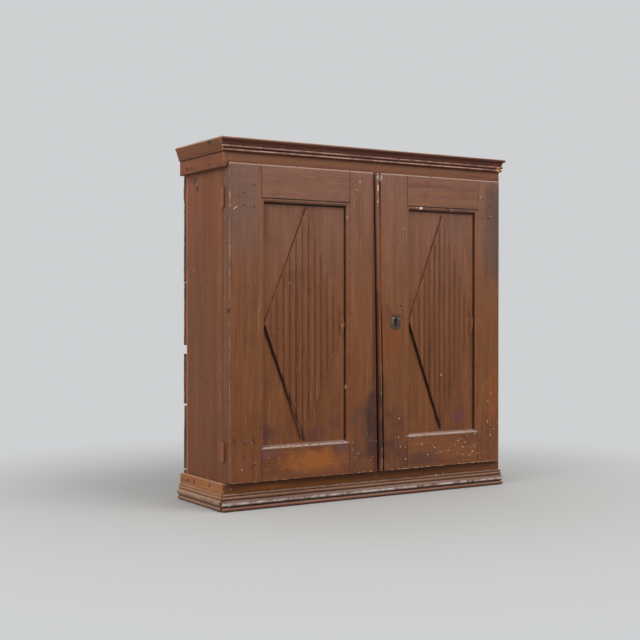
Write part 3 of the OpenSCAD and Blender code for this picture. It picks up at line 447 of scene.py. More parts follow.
@dataclass(frozen=True)
class Stroke(Detail):
    """A strip from one point straight to another, broken by noise, of worn paint, dirt, painted
    shadow or painted highlight.
    """

    start: Point
    end: Point
    half: float
    tint: str
    strength: float = 0.8
    broken: Span = (0.35, 0.6)
    bits: float = 14.0
    sunk: float = 0.0

    def box(self) -> tuple[Point, Point]:
        """Lowest and highest corner of what it covers."""
        low = tuple(min(a, b) - self.half for a, b in zip(self.start, self.end))
        high = tuple(max(a, b) + self.half for a, b in zip(self.start, self.end))
        return low, high

    def mask(self, canvas: Canvas, seed: float) -> Socket:
        """Masks the line; see Detail.mask."""
        tree = canvas.tree
        run = Vector(self.end) * MM - Vector(self.start) * MM
        off = add(
            tree, "VectorMath", {0: canvas.place, 1: metres(self.start)}, operation="SUBTRACT"
        )
        along = add(
            tree, "VectorMath", {0: off, 1: tuple(run / run.length_squared)},
            out="Value", operation="DOT_PRODUCT",
        )
        share = add(tree, "Clamp", {"Value": along})
        nearest = add(tree, "VectorMath", {0: tuple(run), "Scale": share}, operation="SCALE")
        rest = add(tree, "VectorMath", {0: off, 1: nearest}, operation="SUBTRACT")
        away = add(tree, "VectorMath", {0: rest}, out="Value", operation="LENGTH")
        near = canvas.step(away, self.half * MM, self.half * CORE * MM, self.strength)
        return fold(tree, "MULTIPLY", near, canvas.clouds(self.bits, self.broken, seed=seed))


@dataclass(frozen=True)
class Splatter(Detail):
    """Round drops of pale distemper, flung over a stretch of paint."""

    place: Point
    size: Point
    tint: str
    pitch: float = 15.0
    drop: float = 2.0
    share: float = 0.5
    across: Point = (1.0, 0.0, 1.0)
    sunk: float = 0.0

    def box(self) -> tuple[Point, Point]:
        """Lowest and highest corner of what it covers."""
        return Mark(self.place, self.size, self.tint).box()

    def mask(self, canvas: Canvas, seed: float) -> Socket:
        """Masks the drops; see Detail.mask."""
        tree = canvas.tree
        flat = add(tree, "VectorMath", {0: canvas.place, 1: self.across}, operation="MULTIPLY")
        away = add(
            tree, "TexVoronoi", {"Vector": flat, "Scale": per_mm(self.pitch)}, out="Distance"
        )
        lot = add(tree, "SeparateColor", {0: away.node.outputs["Color"]})
        chance = lot.node.outputs[1]
        widest = fold(tree, "MULTIPLY", lot, self.drop / self.pitch)
        inside = fold(tree, "LESS_THAN", away, widest)
        chosen = fold(tree, "LESS_THAN", chance, self.share)
        field = Mark(self.place, self.size, self.tint, ragged=0.9).mask(canvas, seed)
        return fold(tree, "MULTIPLY", inside, chosen, field)


def spot(
    x: float, z: float, width: float, height: float, tint: str, strength: float = 1.0,
    ragged: float = 0.6, sunk: float = 0.0,
) -> Mark:
    """Marks the doors' front, through the mouldings and panels behind it; sizes are full ones."""
    return Mark((x, FACE_Y + 4, z), (width / 2, 14.0, height / 2), tint, strength, ragged, sunk)


def flank(
    y: float, z: float, width: float, height: float, tint: str, strength: float = 1.0,
    ragged: float = 0.6, sunk: float = 0.0,
) -> Mark:
    """Marks the left side's outer face; the values are those of `spot`, with depth for x."""
    return Mark((FLANK_X, y, z), (6.0, width / 2, height / 2), tint, strength, ragged, sunk)


def upright(
    x: float, low: float, high: float, half: float, tint: str, strength: float, broken: Span,
    bits: float, sunk: float = 0.0, y: float = FACE_Y,
) -> Stroke:
    """Draws an upright stroke between two heights, on the doors' front if no depth is given."""
    return Stroke((x, y, low), (x, y, high), half, tint, strength, broken, bits, sunk)


def level(
    left: float, right: float, z: float, half: float, tint: str, strength: float, broken: Span,
    bits: float, sunk: float = 0.0, y: float = FACE_Y,
) -> Stroke:
    """Draws a level stroke from left to right, on the doors' front if no depth is given."""
    return Stroke((left, y, z), (right, y, z), half, tint, strength, broken, bits, sunk)


@dataclass(frozen=True)
class Wash:
    """A thin, uneven coat of another tint: brush streaks along the grain, or soft patches."""

    tint: str
    strength: float
    size: float = 16.0
    span: Span = (0.38, 0.66)
    drawn: bool = True
    start: float | None = None
    full: float = 0.0

    def mask(self, canvas: Canvas, grain: Grain, seed: float) -> Socket:
        """Masks the coat.

        Args:
            canvas: material that takes the nodes.
            grain: direction in which the brush went.
            seed: another number gives other streaks.

        Returns:
            The mask, as strong as the coat, and only from the height `start` to `full` if given.
        """
        cover = canvas.clouds(self.size, self.span, grain if self.drawn else None, seed)
        reach = self.strength
        if self.start is not None:
            reach = canvas.step(canvas.axis(2), self.start * MM, self.full * MM, self.strength)
        return fold(canvas.tree, "MULTIPLY", cover, reach)


@dataclass(frozen=True)
class AgedPine:
    """Sawn pine, never painted, browned by a century of air: growth rings, knots and dirt."""

    name: str
    grain: Grain
    pith: Point = (0.0, 60.0, 0.0)
    spacing: float = 5.5
    early: str = "#977251"
    late: str = "#6A472F"
    dirt: str = "#4A3527"
    dirty: float = 0.5
    figure: float = 0.6
    sawn: float = 0.0
    details: tuple[Detail, ...] = ()
    seed: float = 0.0

    def wood(self, canvas: Canvas) -> tuple[Socket, Socket]:
        """Mixes the wood's colour on its own.

        Args:
            canvas: material that takes the nodes.

        Returns:
            The colour, and the relief of its grain.
        """
        tree = canvas.tree
        ring = canvas.rings(self.grain, self.pith, self.spacing)
        faded = canvas.clouds(40, (0.25, 0.75), self.grain, self.seed + 9)
        depth = fold(tree, "ADD", self.figure * 0.5, fold(tree, "MULTIPLY", faded, self.figure))
        late = fold(tree, "MULTIPLY", canvas.step(ring, 0.3, 0.98), depth)
        fibre = canvas.clouds(1.6, (0.3, 0.75), self.grain, self.seed + 3)
        grime = canvas.clouds(90, (0.42, 0.68), self.grain, self.seed + 5)
        tone = blend(tree, late, linear(self.early), linear(self.late))
        tone = blend(tree, fold(tree, "MULTIPLY", fibre, 0.35), tone, linear(self.late))
        tone = blend(tree, fold(tree, "MULTIPLY", grime, self.dirty), tone, linear(self.dirt))
        ridges = fold(tree, "MULTIPLY", fold(tree, "ADD", late, fibre), 0.45)
        return tone, ridges

    def material(self) -> bpy.types.Material:
        """Makes the material."""
        canvas = Canvas(self.name, self.early)
        canvas.colour, canvas.relief = self.wood(canvas)
        if self.sawn:
            kerfs = add(
                canvas.tree, "TexWave",
                {
                    "Vector": canvas.place, "Scale": WAVE / (self.sawn * MM),
                    "Distortion": 2.0, "Detail Scale": 0.6,
                },
                bands_direction="X", wave_profile="SAW",
            )
            canvas.raise_by(kerfs, 0.35)
            canvas.lay(self.dirt, kerfs, 0.22)
        for number, detail in enumerate(self.details):
            canvas.lay(detail.tint, detail.mask(canvas, float(number)))
        canvas.lay(self.dirt, canvas.crevices(12), 0.75)
        return canvas.finish(canvas.shader(0.72, 0.5, specular=0.3))


@dataclass(frozen=True)
class Bare:
    """Where a painted board turns to bare wood: past a place along one axis."""

    axis: int
    start: float
    full: float


@dataclass(frozen=True)
class OldPaint:
    """Brown oil paint brushed on pine: streaked, greyer above, rubbed along its arrises."""

    name: str
    grain: Grain
    tones: dict[float, str]
    streak: str = "#5A3626"
    # Dark colour for inner corners: dirt and painted shade.
    grime: str = "#1E0E08"
    # Dust and a painted sheen on what faces up.
    dust: str = "#957C70"
    rubbed: str = "#A5806A"
    washes: tuple[Wash, ...] = ()
    details: tuple[Detail, ...] = ()
    dusty: float = 0.6
    rub: float = 0.8
    grimy: float = 0.85
    rough: float = 0.5
    bare: Bare | None = None
    seed: float = 0.0

    def material(self) -> bpy.types.Material:
        """Makes the material."""
        canvas = Canvas(self.name, "#000000")
        canvas.grade(self.tones)
        self._brush(canvas)
        for number, wash in enumerate(self.washes):
            canvas.lay(wash.tint, wash.mask(canvas, self.grain, self.seed + 11 * number + 5))
        # Inner corners darkened with dirt and painted shade.
        for reach, share in ((14, 0.45), (4, 0.9)):
            canvas.lay(self.grime, canvas.crevices(reach), self.grimy * share)
        worn = self._wear(canvas)
        for number, detail in enumerate(self.details):
            mask = detail.mask(canvas, self.seed + number)
            canvas.lay(detail.tint, mask)
            if detail.sunk:
                canvas.raise_by(mask, -detail.sunk)
        if self.bare:
            self._strip(canvas)
        roughness = fold(canvas.tree, "ADD", fold(canvas.tree, "MULTIPLY", worn, 0.15), self.rough)
        return canvas.finish(canvas.shader(roughness, 0.35, specular=0.2))

    def _brush(self, canvas: Canvas) -> None:
        """Streaks the paint along the grain, with the late wood just showing through."""
        fine = canvas.clouds(2.2, (0.3, 0.72), self.grain, self.seed + 1)
        broad = canvas.clouds(17, (0.35, 0.7), self.grain, self.seed + 2)
        ring = canvas.rings(self.grain, (40.0 * self.seed, 70.0, 210.0 * self.seed), 9.0)
        late = canvas.step(ring, 0.55, 0.95)
        for mask, share in ((broad, 0.34), (fine, 0.26), (late, 0.06)):
            canvas.lay(self.streak, mask, share)
        for mask, amount in ((fine, 0.3), (broad, 0.3), (late, 0.25)):
            canvas.raise_by(mask, amount)

    def _wear(self, canvas: Canvas) -> Socket:
        """Dust, with a painted sheen, goes on the ledges; rubs the arrises; gives the rubbed part
        back.
        """
        dust_and_sheen_patches = canvas.clouds(22, (0.25, 0.6), self.grain, self.seed + 8)
        canvas.lay(self.dust, canvas.ledges(), dust_and_sheen_patches, self.dusty)
        nibble = canvas.clouds(9, (0.42, 0.62), seed=self.seed + 7)
        worn = fold(canvas.tree, "MULTIPLY", canvas.arrises(2.0), nibble, self.rub)
        canvas.lay(self.rubbed, worn)
        return worn

    def _strip(self, canvas: Canvas) -> None:
        """Ends the paint in a ragged edge, with bare pine beyond it."""
        tree = canvas.tree
        tone, ridges = AgedPine(self.name, self.grain, seed=self.seed).wood(canvas)
        drip = canvas.clouds(30, (0.35, 0.65), seed=self.seed + 4)
        lean = add(
            tree, "Math", {0: drip, 1: 1.5 * MM, 2: canvas.axis(self.bare.axis)},
            operation="MULTIPLY_ADD",
        )
        inner = canvas.step(lean, self.bare.start * MM, self.bare.full * MM)
        canvas.lay(tone, inner)
        canvas.relief = add(
            tree, "Mix", {0: inner, 2: canvas.relief, 3: ridges}, data_type="FLOAT"
        )


@dataclass(frozen=True)
class WroughtIron:
    """Hammered iron, dark with oil and rust, here and there rubbed to a dull grey."""

    name: str
    body: str = "#3B332D"
    rust: str = "#4F2E1E"
    rubbed: str = "#7A7066"
    soot: str = "#17110D"
    shine: float = 0.35
    rusty: float = 0.6
    coat: str = ""
    coat_from: float = 0.0
    coat_full: float = 0.0
    details: tuple[Detail, ...] = ()

    def material(self) -> bpy.types.Material:
        """Makes the material; a coat of paint lies on the iron in front of a depth, if given."""
        canvas = Canvas(self.name, self.body)
        tree = canvas.tree
        rust = canvas.clouds(7, (0.42, 0.6), seed=2)
        pits = canvas.clouds(1.8, (0.35, 0.7), seed=5)
        canvas.lay(self.rust, rust, self.rusty)
        canvas.lay(self.rubbed, canvas.arrises(0.8), canvas.clouds(5, seed=9))
        canvas.lay(self.soot, canvas.crevices(3), 0.8)
        clean = fold(tree, "SUBTRACT", self.shine, fold(tree, "MULTIPLY", rust, self.shine * 0.9))
        if self.coat:
            covered = canvas.step(canvas.axis(1), self.coat_from * MM, self.coat_full * MM)
            canvas.lay(self.coat, covered)
            clean = fold(tree, "MULTIPLY", clean, fold(tree, "SUBTRACT", 1.0, covered))
        for number, detail in enumerate(self.details):
            canvas.lay(detail.tint, detail.mask(canvas, float(number)))
        canvas.relief = pits
        roughness = fold(tree, "ADD", fold(tree, "MULTIPLY", pits, 0.2), 0.45)
        return canvas.finish(canvas.shader(roughness, 0.25, clean, specular=0.4))


def dress(obj: bpy.types.Object, material: bpy.types.Material) -> None:
    """Gives an object one material, in every slot that it has."""
    if not obj.material_slots:
        obj.data.materials.append(material)
    for slot in obj.material_slots:
        slot.material = material


def alone(obj: bpy.types.Object) -> None:
    """Makes an object the only selected and the active one."""
    bpy.ops.object.select_all(action="DESELECT")
    obj.select_set(True)
    bpy.context.view_layer.objects.active = obj


def slice_up(
    work: bmesh.types.BMesh, faces: list[bmesh.types.BMFace], axis: int, places: Sequence[float]
) -> None:
    """Cuts faces at several places along an axis, the middle one first, which keeps it quick.

    Args:
        work: mesh that holds the faces.
        faces: faces that may be cut.
        axis: number of the axis.
        places: where to cut, in metres, in rising order.
    """
    if not places or not faces:
        return
    middle = len(places) // 2
    point, normal = [0.0, 0.0, 0.0], [0.0, 0.0, 0.0]
    point[axis], normal[axis] = places[middle], 1.0
    parts = {part for face in faces for part in (*face.edges, *face.verts)}
    result = bmesh.ops.bisect_plane(
        work, geom=[*faces, *parts], dist=SNAP, plane_co=point, plane_no=normal
    )
    below: list[bmesh.types.BMFace] = []
    above: list[bmesh.types.BMFace] = []
    for part in result["geom"]:
        if isinstance(part, bmesh.types.BMFace):
            (below if part.calc_center_median()[axis] < places[middle] else above).append(part)
    slice_up(work, below, axis, places[:middle])
    slice_up(work, above, axis, places[middle + 1 :])


def waver(point: Vector, broad: float, fine: float, share: float) -> float:
    """Smooth noise in waves `broad` mm long, with a share of it in `fine` ones."""
    return noise.noise(point / (broad * MM)) + share * noise.noise(point / (fine * MM))


@dataclass(frozen=True)
class Chip:
    """A bit broken off an arris: points within its radius move towards the wood."""

    place: Point
    radius: float
    push: Point


@dataclass(frozen=True)
class Board:
    """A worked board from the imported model, with its arrises eased, rubbed and chipped.

    It is cut every `pitch` along its grain. Arrises over `longest` are eased by `ease`.
    """

    node: str
    grain: Grain
    pitch: float = 5.0
    ease: float = 0.7
    rub: float = 0.5
    longest: float = 30.0
    chips: tuple[Chip, ...] = ()

    def build(self, nodes: Nodes) -> bpy.types.Object:
        """Makes the worn board, which then stands for its node.

        Args:
            nodes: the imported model's objects.

        Returns:
            The worn board.
        """
        source = nodes[self.node]
        piece = bpy.data.objects.new(f"worn_{self.node}", source.data.copy())
        bpy.context.scene.collection.objects.link(piece)
        alone(piece)
        bpy.ops.object.mode_set(mode="EDIT")
        bpy.ops.mesh.select_all(action="SELECT")
        bpy.ops.mesh.remove_doubles(threshold=MERGE)
        bpy.ops.mesh.dissolve_limited(angle_limit=math.radians(FLAT))
        self._ease_arrises(piece)
        bpy.ops.object.mode_set(mode="OBJECT")
        work = bmesh.new()
        work.from_mesh(piece.data)
        self._cut(work)
        self._rub(work)
        bmesh.ops.dissolve_degenerate(work, edges=work.edges, dist=SNAP)
        work.to_mesh(piece.data)
        work.free()
        bpy.ops.object.shade_smooth_by_angle(angle=math.radians(ROUND))
        even = piece.modifiers.new("even_normals", "WEIGHTED_NORMAL")
        even.keep_sharp = True
        bpy.ops.object.modifier_apply(modifier=even.name)
        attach(piece, source["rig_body"])
        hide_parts(self.node)
        return piece

    def _ease_arrises(self, piece: bpy.types.Object) -> None:
        """Takes the sharpness off the long outer arrises, with the piece in edit mode."""
        bpy.ops.mesh.select_all(action="DESELECT")
        work = bmesh.from_edit_mesh(piece.data)
        for edge in work.edges:
            if len(edge.link_faces) == 2 and edge.calc_length() > self.longest * MM:
                edge.select_set(edge.calc_face_angle_signed(0.0) > math.radians(SHARP))
        bmesh.update_edit_mesh(piece.data)
        bpy.ops.mesh.bevel(
            offset=self.ease * MM, offset_type="OFFSET", segments=2, profile=0.5,
            affect="EDGES", clamp_overlap=True,
        )

    def _cut(self, work: bmesh.types.BMesh) -> None:
        """Cuts the mesh every few millimetres along the grain, so that its arrises can waver."""
        low, high = rest_box(self.node)
        axis = self.grain.value
        pitch = self.pitch * 1
        length = high[axis] - low[axis]
        count = int(length / (pitch * MM))
        places = [low[axis] + length * (n + CUT_SHIFT) / count for n in range(1, count)]
        slice_up(work, list(work.faces), axis, places)

    def _rub(self, work: bmesh.types.BMesh) -> None:
        """Wears the arrises down unevenly and breaks the chips off."""
        work.normal_update()
        moves = [(vert, self._wear_of(vert)) for vert in work.verts]
        for vert, move in moves:
            vert.co += move

    def _wear_of(self, vert: bmesh.types.BMVert) -> Vector:
        """How far, in metres, one point of the mesh is worn away or broken off.

        Args:
            vert: the point, with its normal.

        Returns:
            Its move.
        """
        angles = (e.calc_face_angle_signed(0.0) for e in vert.link_edges if len(e.link_faces) == 2)
        sharp = max(angles, default=0.0)
        move = Vector((0.0, 0.0, 0.0))
        if sharp > RUBBED:
            rough = max(0.0, 0.25 + waver(vert.co, 11, 4, 0.6))
            move -= vert.normal * (self.rub * MM * min(1.0, sharp) * rough)
        for chip in self.chips:
            away = (vert.co - Vector(chip.place) * MM).length / (chip.radius * MM)
            if away < 1.0:
                torn = 0.75 + 0.5 * noise.noise(vert.co / (3 * MM))
                move += Vector(chip.push) * MM * torn * (1 - away * away)
        return move


@dataclass(frozen=True)
class BackBoard(Board):
    """A rough back board: its sawn ends are broken and don't quite line up.

    Past `end` it is cut into a grid, so far apart upwards and in depth as `grid` says, and what
    lies within `rim` of an end is torn back unevenly, never deeper than `deepest`.
    """

    torn: float = 1.5
    skew: float = 0.0
    deepest: float = 4.2
    end: float = 405.6
    grid: Span = (2.6, 4.5)
    quick_grid: float = 12.0
    rim: float = 1.2

    def _cut(self, work: bmesh.types.BMesh) -> None:
        """Cuts the board along its grain, and both ends into a fine grid."""
        super()._cut(work)
        low, high = rest_box(self.node)
        pitch = self.grid[0] * MM
        levels = [low[2] + pitch * n for n in range(1, int((high[2] - low[2]) / pitch))]
        depths = [low[1] + self.grid[1] * MM * n for n in range(1, 4)]
        for side in Side:
            end = side.value * self.end * MM
            slice_up(work, list(work.faces), 0, [end])
            for axis, places in ((2, levels), (1, depths)):
                outer = [f for f in work.faces if f.calc_center_median().x / end > 1]
                slice_up(work, outer, axis, places)

    def _wear_of(self, vert: bmesh.types.BMVert) -> Vector:
        """How far one point is worn away, or torn inwards at an end; see Board._wear_of."""
        low, high = rest_box(self.node)
        if abs(vert.co.x) < high[0] - self.rim * MM:
            return super()._wear_of(vert)
        rough = max(0.0, 0.3 + waver(vert.co, 16, 5, 0.5))
        lean = self.skew * (vert.co.z - low[2]) / (high[2] - low[2])
        depth = min(self.deepest, self.torn * rough + abs(lean))
        return Vector((-math.copysign(depth * MM, vert.co.x), 0.0, 0.0))


DOOR_TONES = {80: "#744224", 240: "#734222", 480: "#7A4B2C", 690: "#7A523E", 820: "#7C5749"}
CASE_TONES = {0: "#784321", 300: "#784522", 560: "#7B4726", 810: "#824C2A"}
DOOR_WASHES = (
    Wash("#855838", 0.3, 26, (0.45, 0.7)),
    Wash("#7A5549", 0.5, 60, (0.35, 0.65), start=430, full=760),
    Wash("#7C4A28", 0.5, 70, (0.4, 0.65), start=420, full=170),
    Wash("#5A342C", 0.5, 46, (0.48, 0.72), drawn=False, start=270, full=120),
    Wash("#8A5C3C", 0.45, 11, (0.5, 0.72)),
    Wash("#4E3022", 0.5, 24, (0.54, 0.72)),
    Wash("#4A2C20", 0.3, 60, (0.5, 0.75), drawn=False),
    Wash("#9A7050", 0.45, 3.5, (0.56, 0.72)),
    Wash("#3A221A", 0.55, 3.6, (0.61, 0.7), drawn=False),
    Wash("#A8846A", 0.5, 3.0, (0.65, 0.72), drawn=False),
)
CASE_WASHES = (
    Wash("#8A5030", 0.45, 30, (0.42, 0.66)),
    Wash("#90523A", 0.35, 70, (0.4, 0.65), start=480, full=780),
    Wash("#5E3622", 0.45, 40, (0.48, 0.7)),
    Wash("#9C6644", 0.45, 5, (0.56, 0.72)),
    Wash("#3C2216", 0.5, 3.6, (0.61, 0.7), drawn=False),
)
TRIM_WASHES = (
    Wash("#8C5C3A", 0.25, 24, (0.45, 0.7)),
    Wash("#4A2822", 0.4, 12, (0.48, 0.7)),
    Wash("#2E1812", 0.5, 4, (0.58, 0.7), drawn=False),
    Wash("#A8846A", 0.45, 3, (0.63, 0.72), drawn=False),
)
LEVEL_BOARDS = {
    "top_board": "#7E624A", "bottom_board": "#946F4C", "shelf_lower": "#9A7550",
    "shelf_upper": "#96704C",
}

# What a century of use left on the left door, and painted light and shade on its mouldings, top,
# meeting edge and lozenge.
LEFT_MARKS_AND_PAINTED_LIGHT: tuple[Detail, ...] = (
    # Soft changes of tone.
    spot(-375, 108, 90, 140, "#80482C", 0.4, 0.9),
    spot(-175, 110, 240, 80, "#985A28", 0.8, 0.8),
    spot(-306, 136, 70, 50, "#684440", 0.7, 0.9),
    spot(-92, 134, 56, 44, "#684642", 0.65, 0.9),
    spot(-296, 180, 80, 84, "#56302E", 0.85, 0.9),
    spot(-163, 168, 110, 56, "#5C3432", 0.8, 0.9),
    spot(-108, 197, 64, 66, "#603834", 0.7, 0.9),
    upright(-30, 40, 200, 54, "#4C3630", 0.7, (0.3, 0.72), 50),
    upright(4, 130, 240, 44, "#2C2626", 0.85, (0.22, 0.66), 50),
    # Painted shade along the meeting edge, beside the gap between the doors.
    upright(4, 60, 810, 13, "#4A281C", 0.75, (0.0, 0.5), 60),
    upright(-378, 640, 800, 52, "#645048", 0.55, (0.1, 0.6), 80),
    spot(-240, 640, 90, 160, "#785444", 0.4, 0.9),
    # Painted shadow under the top rail's moulding and at the feet of the side mouldings, with
    # painted highlights on the mouldings.
    level(-324, -73, 745.4, 1.7, "#241208", 0.9, (0.0, 0.35), 30, y=-124.4),
    level(-320, -78, 742.4, 1.5, "#A88470", 0.7, (0.3, 0.55), 16, y=-122.4),
    level(-313, -84, 736, 5.6, "#120804", 0.97, (0.0, 0.2), 40, y=-114.8),
    upright(-82, 151, 735, 4.2, "#2A140A", 0.85, (0.1, 0.45), 40, y=-116.4),
    upright(-76, 144, 742, 1.6, "#94583A", 0.6, (0.35, 0.6), 40, y=-123.5),
    upright(-315, 151, 735, 2.0, "#5A3222", 0.5, (0.2, 0.6), 40, y=-116),
    # The bottom rail's moulding: grey where it is worn and where a sheen is painted, and dark
    # lines along its step.
    level(-318, -79, 151.5, 2.2, "#A0908A", 0.9, (0.2, 0.5), 12, y=-116.0),
    level(-320, -77, 148.6, 1.5, "#2E1C16", 0.8, (0.25, 0.5), 9, y=-119.0),
    level(-322, -75, 145.4, 3.2, "#A5968E", 0.85, (0.36, 0.54), 9, y=-122.0),
    level(-324, -73, 140.6, 1.6, "#38221A", 0.75, (0.15, 0.5), 20),
    # Rubbed arrises and joints, a pale line along the door's top that is worn and partly a painted
    # highlight, and painted shade along the lozenge's bevels.
    Stroke((-314.5, -116, 437), (-201.5, -116, 160), 6.6, "#30180E", 0.92, (0.0, 0.3), 30),
    Stroke((-312, -115, 444), (-198.5, -115, 724), 1.7, "#301A10", 0.85, (0.0, 0.4), 30),
    upright(-411, 70, 822, 1.8, "#AC7C60", 0.7, (0.44, 0.58), 18),
    level(-411, 10, 824.2, 3.2, "#A98D82", 0.9, (0.2, 0.5), 12),
    level(-408, 0, 66.4, 2.6, "#C29A78", 0.9, (0.52, 0.62), 9),
    upright(-324, 745, 822, 1.4, "#3C221A", 0.8, (0.15, 0.45), 24),
    upright(-324, 70, 141, 1.8, "#3C221A", 0.75, (0.15, 0.45), 24),
    upright(-73, 745, 822, 1.4, "#3C221A", 0.8, (0.15, 0.45), 24),
    upright(-73, 70, 141, 1.8, "#3C221A", 0.65, (0.2, 0.5), 24),
    # Chips, knots, stains and scratches.
    upright(-410, 722, 752, 3.2, "#B48A58", 0.9, (0.42, 0.58), 6, 0.8),
    upright(-410, 560, 640, 1.6, "#B8937C", 0.7, (0.46, 0.6), 9),
    Stroke((-399, FACE_Y, 716), (-391, FACE_Y, 721), 1.5, "#C8B6A6", 0.9, (0.3, 0.45), 6, 0.6),
    spot(-410, 474.9, 5, 16, "#3E261D", 0.8, 0.8, 0.6),
    spot(-360.2, 531.7, 9, 9, "#4C2D22", 0.55, 0.4),
    spot(-360.2, 531.7, 4.5, 4.5, "#7A523C", 0.6, 0.4),
    spot(-400, 167, 10, 17, "#503034", 0.8, 0.7, 0.3),
    spot(-378.2, 168.3, 9, 16, "#553236", 0.8, 0.7, 0.3),
    spot(-346.5, 168.3, 10, 24, "#45352A", 0.7, 0.8, 0.3),
    spot(-352.2, 101.5, 8, 12, "#4A2A24", 0.8, 0.8, 0.4),
    spot(-349, 128, 6, 60, "#5C3232", 0.45, 0.9),
    spot(-308, 94.2, 16, 9, "#88462C", 0.6, 0.9),
    spot(-253.9, 102.7, 6, 5, "#4E2A28", 0.85, 0.5, 0.4),
    spot(-228.1, 117.2, 9, 8, "#5E3A3A", 0.8, 0.6, 0.3),
    spot(-268.4, 236, 8, 9, "#3A2A20", 0.8, 0.6, 0.5),
    spot(-92.7, 439.4, 5, 9, "#B58E72", 0.7, 0.6, 0.5),
    spot(-78.9, 707.8, 4, 8, "#B59A80", 0.8, 0.5, 0.5),
    spot(-81.2, 284.7, 4, 14, "#B08E70", 0.7, 0.7, 0.5),
    Splatter((-51.4, FACE_Y, 796), (14, 14, 26), "#A59388", 7, 2.6, 0.7),
    spot(-42, 798.9, 6, 8, "#AC9A8C", 0.8, 0.8, 0.4),
    spot(-52.3, 778.7, 5, 6, "#A8978A", 0.7, 0.8, 0.4),
    spot(-27.2, 280, 9, 8, "#5A2C44", 0.75, 0.7),
    spot(-2, 96, 14, 60, "#6A342A", 0.45, 0.9),
    Splatter((-25, FACE_Y, 104), (60, 12, 80), "#C4B2A0", 9, 2.4, 0.8),
    Splatter((-330, FACE_Y, 100), (90, 12, 90), "#A98C78", 13, 2.2, 0.4),
    Splatter((-230, FACE_Y, 420), (190, 14, 370), "#A08672", 34, 2.6, 0.5),
    Splatter((-230, FACE_Y, 300), (190, 14, 300), "#3C241C", 41, 3.0, 0.4),
)
